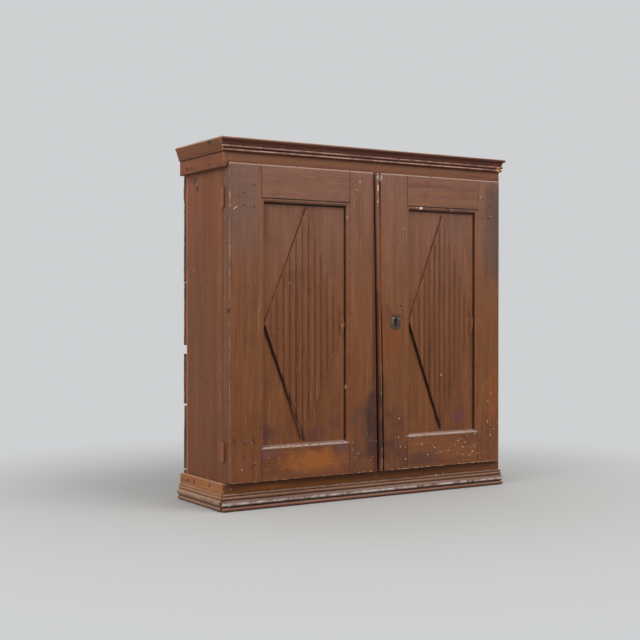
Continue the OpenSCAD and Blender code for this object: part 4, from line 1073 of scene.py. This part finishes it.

# What a century of use left on the right door, and painted light and shade on its mouldings, top,
# bead and lozenge.
RIGHT_MARKS_AND_PAINTED_LIGHT: tuple[Detail, ...] = (
    # Soft changes of tone.
    spot(200, 112, 190, 70, "#7E4A28", 0.5, 0.8),
    spot(150, 92, 180, 56, "#4E3630", 0.7, 0.9),
    upright(60, 40, 190, 56, "#4A2E28", 0.75, (0.3, 0.72), 50),
    upright(8, 130, 290, 38, "#2E2826", 0.85, (0.22, 0.66), 50),
    # Painted shade on the bead's left flank, beside the gap.
    upright(15, 66, 520, 8, "#472A26", 0.7, (0.0, 0.4), 70, y=-120),
    spot(285, 191.2, 90, 52, "#683A42", 0.75, 0.9),
    upright(392, 590, 790, 44, "#4E413C", 0.7, (0.1, 0.6), 90),
    spot(260, 690, 110, 120, "#66524A", 0.35, 0.9),
    spot(170, 470, 40, 200, "#6E4630", 0.4, 0.9),
    spot(390, 250, 56, 240, "#8A4F2A", 0.55, 0.9),
    spot(60, 400, 80, 160, "#78441F", 0.55, 0.9),
    # Painted shadow under the top rail's moulding and at the right moulding's foot, with painted
    # highlights on the mouldings.
    level(104, 339, 745.4, 1.7, "#241208", 0.9, (0.0, 0.35), 30, y=-124.4),
    level(108, 335, 742.4, 1.5, "#B08A74", 0.75, (0.3, 0.55), 16, y=-122.4),
    level(115, 328, 736, 5.0, "#160A06", 0.97, (0.0, 0.2), 40, y=-114.8),
    upright(330.2, 156, 735, 4.6, "#2C1209", 0.9, (0.05, 0.4), 40, y=-117),
    upright(336.5, 149, 742, 1.8, "#9A5A38", 0.6, (0.35, 0.6), 40, y=-123.5),
    # The bottom rail's moulding: grey where it is worn and where a sheen is painted, and dark
    # lines along its step.
    level(110, 333, 156.5, 2.2, "#A0908A", 0.9, (0.2, 0.5), 12, y=-116.0),
    level(108, 335, 153.6, 1.5, "#2E1C16", 0.8, (0.25, 0.5), 9, y=-119.0),
    level(106, 337, 150.4, 3.2, "#A5968E", 0.85, (0.36, 0.54), 9, y=-122.0),
    level(104, 339, 145.6, 1.6, "#38221A", 0.75, (0.15, 0.5), 20),
    # Rubbed arrises and joints, a pale line along the door's top that is worn and partly a painted
    # highlight, painted light in the bead's quirk and along its right side, and painted shade
    # along the lozenge's bevels.
    Stroke((114, -116, 440), (219, -116, 165), 6.6, "#30180E", 0.92, (0.0, 0.3), 30),
    Stroke((116.5, -115, 447), (221.5, -115, 724), 1.7, "#301A10", 0.85, (0.0, 0.4), 30),
    upright(24.2, 66, 824, 3.6, "#D08A5C", 0.95, (0.0, 0.3), 60, y=-121.2),
    level(10, 411, 824.2, 3.2, "#A58E82", 0.9, (0.2, 0.5), 12),
    level(20, 408, 66.4, 3.0, "#C2A688", 0.95, (0.48, 0.58), 9),
    upright(411, 70, 822, 1.6, "#A97E64", 0.6, (0.45, 0.6), 16),
    upright(104.5, 750, 822, 1.4, "#3C221A", 0.8, (0.1, 0.4), 30),
    upright(104.5, 70, 146, 1.8, "#3C221A", 0.8, (0.1, 0.4), 30),
    upright(339, 750, 822, 1.4, "#3C221A", 0.7, (0.1, 0.4), 30),
    upright(339, 70, 146, 1.8, "#3C221A", 0.7, (0.1, 0.4), 30),
    upright(28, 520, 770, 2.2, "#92502E", 0.6, (0.4, 0.6), 30),
    upright(24.3, 325, 350, 1.8, "#B09070", 0.8, (0.4, 0.55), 8),
    upright(24.4, 262, 304, 1.8, "#B09070", 0.8, (0.42, 0.56), 8),
    upright(24.2, 486, 508, 1.8, "#9A7A60", 0.7, (0.4, 0.55), 8),
    upright(26, 72, 125, 1.6, "#C09A84", 0.7, (0.4, 0.55), 10),
    # Chips, knots, stains and scratches.
    spot(18, 814, 22, 18, "#A2948A", 0.8, 1.2, 0.3),
    Splatter((26, FACE_Y, 806), (16, 12, 18), "#A8988C", 7, 2.6, 0.7),
    upright(13, 752, 792, 3.6, "#CDAA86", 0.85, (0.42, 0.55), 10, 0.5),
    spot(150, 741.6, 13, 8, "#EDE6DA", 1.0, 0.7, 0.8),
    spot(137, 742.5, 8, 4, "#CFC4B4", 0.8, 0.7, 0.5),
    spot(251.9, 738.3, 5, 8, "#A99480", 0.8, 0.6, 0.6),
    Stroke((148, FACE_Y, 786), (166, FACE_Y, 788), 1.0, "#97796A", 0.45, (0.3, 0.5), 9),
    level(232, 251, 806, 1.0, "#97796A", 0.45, (0.3, 0.5), 9),
    spot(84.7, 488.2, 9, 8, "#3C221A", 0.9, 0.8, 0.8),
    spot(88, 491, 5, 3, "#A8876C", 0.8, 0.6),
    spot(45.8, 334.6, 7, 6, "#38231E", 0.9, 0.5, 0.5),
    spot(94.6, 686, 4, 7, "#A48A78", 0.8, 0.5, 0.4),
    spot(76.9, 653.8, 4, 8, "#4C3026", 0.7, 0.5, 0.4),
    spot(349.5, 777.5, 8, 11, "#9A877A", 0.7, 0.9, 0.4),
    spot(382.6, 727.8, 8, 7, "#A09084", 0.7, 0.9, 0.4),
    spot(366, 745, 5, 6, "#4A352E", 0.7, 0.7, 0.4),
    spot(308, 449.7, 5, 10, "#B08A6C", 0.8, 0.6, 0.5),
    *(
        spot(x, z, 4, 4.5, "#D8C8B2", 0.95, 0.3)
        for x, z in (
            (78.9, 197.9), (77, 149.3), (83.4, 125.3), (151.9, 126.5), (193.1, 116.3),
            (171.1, 98.8), (329.3, 144.8), (321.8, 98.6), (372.2, 173.3), (382.1, 137.3),
            (218.6, 305.7),
        )
    ),
    Splatter((290, FACE_Y, 106), (120, 12, 50), "#BCA893", 8, 2.0, 0.6),
    Splatter((120, FACE_Y, 104), (130, 12, 60), "#B7A392", 10, 2.2, 0.45),
    Splatter((372, FACE_Y, 180), (50, 12, 140), "#A89480", 11, 2.2, 0.45),
    Splatter((60, FACE_Y, 230), (40, 12, 90), "#A89480", 16, 2.4, 0.5),
    Splatter((210, FACE_Y, 480), (190, 14, 330), "#A08672", 36, 2.6, 0.5),
    Splatter((210, FACE_Y, 330), (190, 14, 300), "#3C241C", 43, 3.0, 0.4),
)

# What a century of use left on the left side.
FLANK_WEAR: tuple[Detail, ...] = (
    upright(FLANK_X, 66, 812, 4.2, "#BC7850", 0.85, (0.2, 0.5), 40, y=106.5),
    Stroke((FLANK_X, -79, 505), (FLANK_X, -83, 770), 3.4, "#A6503A", 0.65, (0.35, 0.6), 26),
    upright(FLANK_X, 60, 790, 7.0, "#9A5A34", 0.5, (0.3, 0.6), 60, y=-74),
    upright(FLANK_X, 66, 812, 1.6, "#35201A", 0.8, (0.25, 0.5), 40, y=-95.9),
    flank(60, 796, 20, 26, "#33221C", 0.9, 1.0, 0.6),
    flank(47, 775, 16, 22, "#2E1D18", 0.95, 0.9, 0.6),
    flank(53, 788, 6, 14, "#A88460", 0.85, 0.8, 0.4),
    flank(78, 800, 9, 16, "#4A3028", 0.8, 0.9, 0.4),
    flank(-103.3, 369.1, 10, 24, "#33221D", 0.9, 0.8, 0.8),
    flank(-99, 372, 8, 12, "#B0855C", 0.6, 0.8, 0.6),
    flank(-110, 788.3, 7, 20, "#3A241C", 0.8, 0.8, 0.8),
    flank(-110, 745.9, 9, 12, "#B08558", 0.8, 0.8, 0.8),
    flank(-81.5, 546.1, 3, 20, "#A4785E", 0.7, 0.6),
    flank(65.9, 576.5, 9, 14, "#96705A", 0.6, 0.8),
    flank(23.4, 550.5, 8, 12, "#936C56", 0.6, 0.8),
    flank(49.0, 547.6, 7, 7, "#3A241C", 0.85, 0.6, 0.5),
    flank(-8.7, 299.8, 7, 8, "#40281E", 0.8, 0.7, 0.4),
    flank(32.1, 436.2, 6, 8, "#40281E", 0.8, 0.7, 0.4),
    flank(20, 120, 190, 110, "#744226", 0.4, 0.9),
    flank(60, 720, 90, 200, "#814A34", 0.35, 0.9),
    Splatter((FLANK_X, 0, 440), (12, 130, 380), "#9A7460", 37, 2.6, 0.5, (0, 1, 1)),
    Splatter((FLANK_X, 0, 400), (12, 130, 360), "#3A2218", 45, 3.2, 0.4, (0, 1, 1)),
)

# What a century of use left on the frieze, the cornice and the base, and painted light and shade
# on their mouldings.
TRIM_MARKS_AND_PAINTED_LIGHT: tuple[Detail, ...] = (
    # The putty of the left mitre, and stains near it.
    upright(-420.9, 815, 852, 4.0, "#B08446", 0.85, (0.4, 0.55), 8, y=-112.4),
    upright(-420.9, 815, 852, 1.4, "#2A1A12", 0.9, (0.3, 0.5), 12, y=-113.2),
    Stroke((-424, -116, 852), (-433.6, -126, 885), 4.0, "#B08446", 0.85, (0.4, 0.55), 8),
    Stroke((-424, -116.6, 852), (-433.6, -126.4, 885), 1.3, "#2A1A12", 0.85, (0.35, 0.5), 10),
    Mark((-431, -63.7, 877), (8, 11, 7), "#34312E", 0.9, 0.8),
    Mark((-431, -80, 881), (8, 6, 4), "#3A3028", 0.85, 0.8),
    Mark((-431, -98, 876), (8, 5, 5), "#45382C", 0.8, 0.8),
    # Painted shadow under the left cornice and under the frieze's return, and a pale line along
    # the left cornice's cap, partly a painted highlight.
    Stroke((-422, -112, 851.2), (-422, 126, 851.2), 2.4, "#2A1810", 0.9, (0.1, 0.4), 20),
    Stroke((-421, -112, 815), (-421, 126, 815), 2.2, "#2C1A12", 0.85, (0.1, 0.45), 20),
    Stroke((-433, -100, 883.5), (-433, 126, 883.5), 2.6, "#C0A288", 0.8, (0.3, 0.52), 12),
    # Nail holes of the return.
    Mark((-420.9, 87.5, 829.9), (4, 4.4, 5.2), "#1C0F0A", 1.0, 0.5, 1.0),
    Mark((-420.9, 62, 828), (4, 3.4, 4.4), "#20120C", 1.0, 0.5, 1.0),
    Mark((-420.9, -32.7, 829), (4, 2.6, 3.6), "#20120C", 1.0, 0.5, 1.0),
    Mark((-70, -113, 829), (150, 9, 7), "#683A38", 0.6, 0.9),
    Mark((413, -122, 858), (8, 14, 8), "#D29A58", 0.9, 0.8, 0.5),
    Mark((400, -124, 868), (9, 10, 6), "#9A4A34", 0.7, 0.9),
    # Painted highlights, with some wear, along the cornice's two beads and the top of its cap.
    level(-434, 434, 856.2, 2.4, "#B98C7C", 0.75, (0.38, 0.56), 26, y=-119.8),
    level(-434, 434, 864.4, 2.2, "#B58878", 0.6, (0.42, 0.58), 26, y=-121.5),
    level(-434, 434, 884.4, 4.0, "#B39A8A", 0.6, (0.4, 0.56), 20, y=-122.0),
    Stroke((-434, -126, 884.4), (-434, 126, 884.4), 5.0, "#B39A8A", 0.6, (0.36, 0.55), 20),
    # The base's band and swell, rubbed: a painted reflection along the front swell, painted shade
    # in the quirks beside it, pale lines along the band and bead that are worn and partly painted
    # highlight, and worn pale strips on the left return.
    level(-430, 430, 18, 4.0, "#C6BCB8", 0.9, (0.34, 0.6), 30, y=-122.7),
    level(-430, 430, 12.2, 1.6, "#2A1610", 0.8, (0.1, 0.4), 30, y=-121),
    level(-430, 430, 25.8, 1.5, "#2A1610", 0.8, (0.1, 0.4), 30, y=-116),
    level(-430, 430, 34.5, 3.0, "#B28E68", 0.7, (0.45, 0.58), 12, y=-114),
    level(-430, 430, 40.5, 2.4, "#B8987E", 0.7, (0.42, 0.56), 14, y=-112),
    Stroke((-428, -122, 40), (-428, 126, 40), 3.4, "#B69A82", 0.7, (0.4, 0.55), 16),
    Stroke((-430, -122, 20), (-430, 126, 20), 8.0, "#A28E7C", 0.55, (0.4, 0.6), 14),
    Mark((-411.3, -123, 17.1), (9, 9, 6), "#A8A098", 0.85, 0.9),
    Mark((-424, 52, 57), (10, 20, 9), "#A64E2C", 0.7, 0.9),
    Mark((-300, -108, 52), (110, 9, 9), "#8C5222", 0.6, 0.9),
    Splatter((230, -112, 30), (220, 16, 40), "#BFA98A", 13, 2.4, 0.5),
    Splatter((-150, -114, 25), (280, 16, 30), "#A79486", 17, 2.6, 0.5),
)


def knots(node: str) -> tuple[Mark, ...]:
    """Scatters the knots of the back and shelf boards, and gives those that one board has."""
    found: list[Mark] = []
    for x, y, z, size in (
        (-290, 126, 845, 9), (120, 126, 838, 12), (330, 126, 700, 10), (-130, 126, 735, 14),
        (40, 126, 560, 11), (-340, 126, 540, 9), (240, 126, 402, 13), (-60, 126, 250, 9),
        (-250, 126, 300, 12), (310, 126, 120, 11), (-180, 126, 90, 14), (150, 0, 320, 12),
        (-200, 30, 580, 10), (60, -40, 880, 12),
    ):
        for share, tint in ((1.7, "#6E432A"), (0.9, "#38231A")):
            width = size * share
            mark = Mark((x, y, z), (width * 1.3, 9, width * 0.8), tint, 0.85, 0.5)
            if mark.falls_on(node):
                found.append(mark)
    return tuple(found)


CHIPS = {
    "left_hinge_stile": (
        Chip((-411, -124.8, 737), 10, (1.5, 1.1, 0)),
        Chip((-411, -124.8, 474.9), 8, (1.4, 1.0, 0)),
        Chip((-411, -124.8, 788), 8, (1.2, 0.9, 0)), Chip((-411, -103.3, 369), 8, (1.3, 0, 0)),
        Chip((-411, -124.8, 66.4), 9, (0.8, 0.9, 0.8)),
    ),
    "left_top_rail": (Chip((-150, -124.5, 744), 6, (0, 0.9, 0.8)),),
    "left_bottom_rail": (
        Chip((-210, -122, 146), 9, (0, 0.9, -0.6)), Chip((-110, -122, 146), 8, (0, 0.8, -0.5)),
    ),
    "right_top_rail": (
        Chip((150, -123, 743), 8, (0, 1.6, 1.2)), Chip((252, -123, 741), 6, (0, 1.0, 1.0)),
    ),
    "right_meeting_stile": (
        Chip((12, -124.8, 775), 10, (0.7, 0.8, 0)), Chip((12, -124.8, 820), 8, (0.6, 0.9, -0.6)),
    ),
    "right_bottom_rail": (Chip((300, -122, 151), 9, (0, 0.9, -0.6)),),
    "cornice_front": (Chip((426, -122, 857), 8, (-1.4, 1.4, 0.5)),),
    "base_front": (
        Chip((-418, -122, 18), 10, (0.4, 1.2, 0)), Chip((120, -121, 19), 9, (0, 0.9, 0)),
    ),
    "side_left": (Chip((-411, 108, 790), 12, (1.2, -1.2, 0)),),
}


@dataclass
class Door:
    """One door: four frame members, a panel in their groove, a reeded lozenge, and its pegs."""

    side: Side
    seed: float
    wear: tuple[Detail, ...]
    inner_y: float = -98.5
    panel_y: float = -109.0

    def build(self, nodes: Nodes) -> None:
        """Builds and dresses the door's wood.

        Args:
            nodes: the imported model's objects.
        """
        members = (
            ("hinge_stile", Grain.UPRIGHT), ("meeting_stile", Grain.UPRIGHT),
            ("top_rail", Grain.ACROSS), ("bottom_rail", Grain.ACROSS),
            ("panel", Grain.UPRIGHT), ("lozenge", Grain.UPRIGHT),
        )
        for number, (member, grain) in enumerate(members):
            node = f"{self.side.word}_{member}"
            board = Board(node, grain, chips=CHIPS.get(node, ()))
            if member == "lozenge":
                board = replace(board, pitch=4.0, rub=0.8, ease=0.4)
            finish = OldPaint(
                f"old_brown_paint_{node}", grain, DOOR_TONES, washes=DOOR_WASHES,
                details=tuple(detail for detail in self.wear if detail.falls_on(node)),
                bare=Bare(1, self.inner_y, self.inner_y + 1), seed=self.seed + number * 3.1,
            )
            if member == "panel":
                finish = replace(finish, bare=Bare(1, self.panel_y, self.panel_y + 1))
            if member == "lozenge":
                uneven = Wash("#5A3220", 0.3, 9, (0.45, 0.62))
                # The lozenge's reed grooves get a lighter colour and a smaller share of dirt and
                # painted shade.
                finish = replace(
                    finish, washes=(*DOOR_WASHES, uneven), grime="#34190E", grimy=0.75
                )
            dress(board.build(nodes), finish.material())
        pegs = AgedPine("peg_ends", Grain.DEEP, early="#6B4630", late="#4A2E20")
        dress(nodes[f"{self.side.word}_pegs"], pegs.material())
        LOG.info("%s door: %d members, panel and lozenge", self.side.word, len(members))


@dataclass
class Carcass:
    """Sides, top, bottom, shelves and the back boards with their rough ends."""

    seed: float = 20.0
    inner_x: float = 392.5
    torn_ends: tuple[Span, ...] = (
        (0.6, 0.0), (0.7, 1.0), (1.0, 0.0), (0.8, 1.2), (1.3, 1.6), (3.2, 0.0),
    )

    def build(self, nodes: Nodes) -> None:
        """Builds and dresses the carcass.

        Args:
            nodes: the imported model's objects.
        """
        for side in Side:
            self._side(nodes, side)
        for number, (node, early) in enumerate(LEVEL_BOARDS.items()):
            height = rest_box(node)[1].z / MM
            finish = AgedPine(
                f"aged_pine_{node}", Grain.ACROSS, pith=(0, 40 - 25 * number, height - 70),
                spacing=4.5, early=early, dirty=0.65, details=knots(node), seed=number + 30.0,
            )
            dress(Board(node, Grain.ACROSS, pitch=12).build(nodes), finish.material())
        ends = (
            Stroke((-411, 117, 0), (-411, 117, 881), 6.0, "#452C28", 0.8, (0.3, 0.5), 12),
            Stroke((-411, 110, 0), (-411, 110, 881), 2.0, "#8E5636", 0.7, (0.5, 0.6), 9),
        )
        for number, (torn, skew) in enumerate(self.torn_ends, start=1):
            node = f"back_board_{number}"
            finish = AgedPine(
                f"sawn_pine_{node}", Grain.ACROSS, pith=(0, 30 + 17 * number, 151 * number - 60),
                spacing=6.5 + number % 3, early="#8C6446", late="#5E3D2A", dirt="#42302A",
                dirty=0.7, sawn=4.0, details=(*ends, *knots(node)), seed=float(number),
            )
            board = BackBoard(node, Grain.ACROSS, pitch=14, torn=torn, skew=skew)
            dress(board.build(nodes), finish.material())
        LOG.info("carcass: sides, top, bottom, shelves, %d back boards", len(self.torn_ends))

    def _side(self, nodes: Nodes, side: Side) -> None:
        """Builds one side: painted outside and bare inside.

        Args:
            nodes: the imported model's objects.
            side: which of the two.
        """
        node = f"side_{side.word}"
        inner = side.value * self.inner_x
        finish = OldPaint(
            f"old_brown_paint_{node}", Grain.UPRIGHT, CASE_TONES, washes=CASE_WASHES,
            details=FLANK_WEAR if side is Side.LEFT else (),
            bare=Bare(0, inner, inner - side.value), seed=self.seed + side.value,
        )
        board = Board(node, Grain.UPRIGHT, chips=CHIPS.get(node, ()))
        dress(board.build(nodes), finish.material())


@dataclass(frozen=True)
class Profile:
    """One kind of moulding: its colours by height in front and at the flanks, some with painted
    shade and highlight, and how it is worn.
    """

    kind: str
    front: dict[float, str]
    flank: dict[float, str]
    dusty: float = 0.45
    pitch: float = 5.0
    ease: float = 0.7
    rub: float = 0.5
    bare: Bare | None = None


PROFILES = (
    Profile("frieze", {815: "#744A33", 851: "#7E543C"}, {815: "#844926", 851: "#8C502E"}),
    # The cornice's front is darkest at its foot and in its cove: painted shade.
    Profile(
        "cornice",
        {
            851: "#3A1C14", 855: "#6A3C30", 860: "#74463A", 866: "#4C261C", 875: "#54291F",
            885: "#48241E",
        },
        {851: "#7A4224", 862: "#8E522C", 876: "#90552F", 885: "#A5785A"},
        dusty=0.7, pitch=4.0, ease=0.4, rub=0.8, bare=Bare(2, 883.6, 884.8),
    ),
    # The base's front: painted shade in its quirks and at its top under the doors, and a paler
    # swell for a painted reflection.
    Profile(
        "base",
        {
            0: "#5A2E1E", 8: "#7E5242", 12: "#3E2620", 17: "#785A50", 23: "#684636",
            26: "#3A2016", 29: "#744C38", 34: "#8A6448", 38: "#5C3A26", 46: "#724216",
            55: "#64360F", 65: "#4E260E",
        },
        {0: "#A47658", 34: "#B68862", 46: "#B87440", 65: "#BA7842"},
        pitch=4.0, ease=0.4, rub=0.9, bare=Bare(2, 1.2, 0.2),
    ),
)


@dataclass
class Mouldings:
    """Frieze, cornice and base: the level painted lengths round the front and the sides."""

    seed: float = 40.0
    wear: tuple[Detail, ...] = ()

    def build(self, nodes: Nodes) -> None:
        """Builds and dresses the lengths.

        Args:
            nodes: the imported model's objects.
        """
        for part in ("front", "left", "right"):
            for profile in PROFILES:
                self._length(nodes, profile, part)
        LOG.info("mouldings: frieze, cornice and base in three lengths each")

    def _length(self, nodes: Nodes, profile: Profile, part: str) -> None:
        """Builds and dresses one length.

        Args:
            nodes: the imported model's objects.
            profile: which moulding it is.
            part: front, left or right.
        """
        node = f"{profile.kind}_{part}"
        front = part == "front"
        grain = Grain.ACROSS if front else Grain.DEEP
        board = Board(
            node, grain, profile.pitch, profile.ease, profile.rub, chips=CHIPS.get(node, ())
        )
        finish = OldPaint(
            f"old_brown_paint_{node}", grain, profile.front if front else profile.flank,
            dust="#A08A80", dusty=profile.dusty, washes=TRIM_WASHES, bare=profile.bare,
            details=tuple(detail for detail in self.wear if detail.falls_on(node)),
            seed=self.seed + len(node),
        )
        dress(board.build(nodes), finish.material())


@dataclass
class Ironwork:
    """Hinges, lock, bolt and nails."""

    rubbed: frozenset[str] = frozenset({"lock_bolt", "slide_bolt", "lock_spring"})
    painted: tuple[str, ...] = ("leaf", "pins", "door_nails", "frame_iron_nails")
    wooden: tuple[str, ...] = (
        "side", "board", "shelf", "frieze", "cornice", "base", "stile", "rail", "panel", "lozenge",
        "pegs",
    )

    def build(self, nodes: Nodes) -> None:
        """Dresses the iron.

        Args:
            nodes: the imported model's objects.
        """
        # Nearly black and dull: lock, strike, staples and keeper.
        dark = WroughtIron("wrought_iron").material()
        # Grey and shiny, where a bolt or spring rubs.
        bright = WroughtIron("rubbed_iron", body="#5C5650", shine=0.75, rusty=0.3).material()
        # Iron that was painted over with the doors, at the front only.
        coated = WroughtIron("painted_iron", coat="#4A2D25", coat_from=-96.0, coat_full=-98.0)
        # The hinges' knuckles: a coat lighter and redder than the doors beside them, painted light
        # against the shade between door and side.
        knuckles = WroughtIron(
            "painted_knuckle_iron", coat="#8A5638", coat_from=-60.0, coat_full=-70.0, rusty=0.8
        )
        # Dark pits where the trim's nails were driven in and painted over.
        sunken = WroughtIron(
            "trim_nail_iron", body="#1E1512", coat="#7E5036", coat_from=-108.0, coat_full=-111.0
        )
        coated_iron, knuckle_iron = coated.material(), knuckles.material()
        for name, obj in nodes.items():
            if any(word in name for word in self.wooden):
                continue
            if name in self.rubbed:
                dress(obj, bright)
            else:
                dress(obj, coated_iron if any(word in name for word in self.painted) else dark)
            if "leaf" in name or "pins" in name:
                dress(obj, knuckle_iron)
        dress(nodes["trim_nails"], sunken.material())
        self._keyhole_plate(nodes)
        LOG.info("ironwork: hinges, lock, bolt and nails")

    def _keyhole_plate(self, nodes: Nodes) -> None:
        """Dresses the plate round the keyhole, with old paint and putty at its rim."""
        y = FACE_Y
        dress(nodes["escutcheon"], WroughtIron(
            "keyhole_iron", body="#3E352A", rust="#2E2418", rubbed="#776A5C", shine=0.15,
            details=(
                Mark((60, y, 456), (7, 6, 3), "#A1907E", 0.7, 0.9),
                Mark((57, y, 447), (2.5, 6, 7), "#8C7C68", 0.6, 0.9),
                Mark((78, y, 455), (3, 6, 4), "#847460", 0.6, 0.9),
                # Painted shade that makes the keyhole look wider.
                Mark((67.9, y, 449), (5, 6, 11), "#120B08", 0.85, 0.7),
                Mark((54, y, 463), (6, 6, 5), "#6A3E26", 1.0, 0.7),
                Mark((82, y, 463), (5, 6, 5), "#6A3E26", 1.0, 0.7),
                Mark((54, y, 428), (6, 6, 6), "#6A3E26", 1.0, 0.7),
                Mark((82, y, 428), (6, 6, 6), "#6A3E26", 1.0, 0.7),
            ),
        ).material())


@dataclass
class Studio:
    """Pale floor and backdrop, a room that is bright overhead, two soft lamps, and the camera.

    The floor fades into the backdrop between the two distances of `fade`, in metres.
    """

    lens_px: float = 1174.5
    frame_px: float = 640.0
    eye: Point = (-1686.0, -2581.2, 482.8)
    yaw: float = 31.84
    pitch: float = -0.604
    floor: str = "#A3A2A0"
    patches: str = "#9F9F9E"
    fade: Span = (0.45, 1.5)
    backdrop: str = "#CED0D2"
    sky: str = "#FAFAFA"
    zenith: float = 1.1
    horizon: float = 0.16

    def build(self) -> None:
        """Builds the stage, lamps and camera."""
        self._floor()
        self._lamps()
        self._room()
        self._camera()
        LOG.info("studio: floor, lamps and camera")

    def _seen(self, tree: Tree) -> Socket:
        """Picks the rays that show the backdrop: the camera's, and those off gloss and glass."""
        path = add(tree, "LightPath").node
        looks = (path.outputs[f"Is {kind} Ray"] for kind in ("Camera", "Glossy", "Transmission"))
        return fold(tree, "MAXIMUM", *looks)

    def _floor(self) -> None:
        """Lays a floor that takes the cupboard's shadow and fades into the backdrop."""
        bpy.ops.object.select_all(action="DESELECT")
        bpy.ops.mesh.primitive_plane_add(size=30, location=(0, 0, 0))
        floor = bpy.context.object
        floor.name = "studio_floor"
        canvas = Canvas("studio_paper", self.floor)
        tree = canvas.tree
        canvas.lay(self.patches, canvas.clouds(900, (0.2, 0.8), seed=3), 0.4)
        paper = canvas.shader(0.9, 0.01, specular=0.1)
        reach = add(tree, "VectorMath", {0: canvas.place}, out="Value", operation="LENGTH")
        far = fold(tree, "MULTIPLY", canvas.step(reach, *self.fade), self._seen(tree))
        glow = add(tree, "Emission", {"Color": linear(self.backdrop), "Strength": 1.0})
        dress(floor, canvas.finish(add(tree, "MixShader", {0: far, 1: paper, 2: glow})))

    def _lamps(self) -> None:
        """Hangs a large soft lamp above the right front, and a weaker one at the left."""
        for name, place, size, power in (
            ("key_lamp", (800.0, -1800.0, 3000.0), 2.0, 74.0),
            ("fill_lamp", (-2100.0, -800.0, 2600.0), 2.0, 44.0),
        ):
            lamp = bpy.data.lights.new(name, "AREA")
            lamp.size = size
            lamp.energy = power
            obj = bpy.data.objects.new(name, lamp)
            obj.location = metres(place)
            aim = Vector((0, 0, 0.45)) - obj.location
            obj.rotation_euler = aim.to_track_quat("-Z", "Y").to_euler()
            bpy.context.scene.collection.objects.link(obj)

    def _room(self) -> None:
        """Lights the room from above, and shows the backdrop behind it."""
        world = bpy.data.worlds.new("studio_room")
        bpy.context.scene.world = world
        world.use_nodes = True
        tree = world.node_tree
        tree.nodes.clear()
        way = add(tree, "TexCoord", out="Generated")
        up = add(tree, "SeparateXYZ", {0: way}, out="Z")
        level = add(
            tree, "MapRange",
            {"Value": up, "From Max": 0.9, "To Min": self.horizon, "To Max": self.zenith},
        )
        light = add(tree, "Background", {"Color": linear(self.sky), "Strength": level})
        wall = add(tree, "Background", {"Color": linear(self.backdrop), "Strength": 1.0})
        both = add(tree, "MixShader", {0: self._seen(tree), 1: light, 2: wall})
        add(tree, "OutputWorld", {"Surface": both})

    def _camera(self) -> None:
        """Sets the camera up at the photograph's place."""
        camera = bpy.data.cameras.new("camera")
        camera.sensor_width = 36.0
        camera.lens = camera.sensor_width * self.lens_px / self.frame_px
        obj = bpy.data.objects.new("camera", camera)
        obj.location = metres(self.eye)
        obj.rotation_euler = (math.radians(90 + self.pitch), 0.0, math.radians(-self.yaw))
        bpy.context.scene.collection.objects.link(obj)
        bpy.context.scene.camera = obj
        bpy.context.scene.view_settings.view_transform = "Standard"


def main() -> None:
    """Builds the cupboard's looks in order."""
    logging.basicConfig(level=logging.INFO, format="%(message)s")
    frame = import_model()
    nodes = frame["nodes"]
    Carcass().build(nodes)
    Mouldings(wear=TRIM_MARKS_AND_PAINTED_LIGHT).build(nodes)
    Door(Side.LEFT, 1.0, LEFT_MARKS_AND_PAINTED_LIGHT).build(nodes)
    Door(Side.RIGHT, 60.0, RIGHT_MARKS_AND_PAINTED_LIGHT).build(nodes)
    Ironwork().build(nodes)
    Studio().build()


if __name__ == "__main__":
    main()
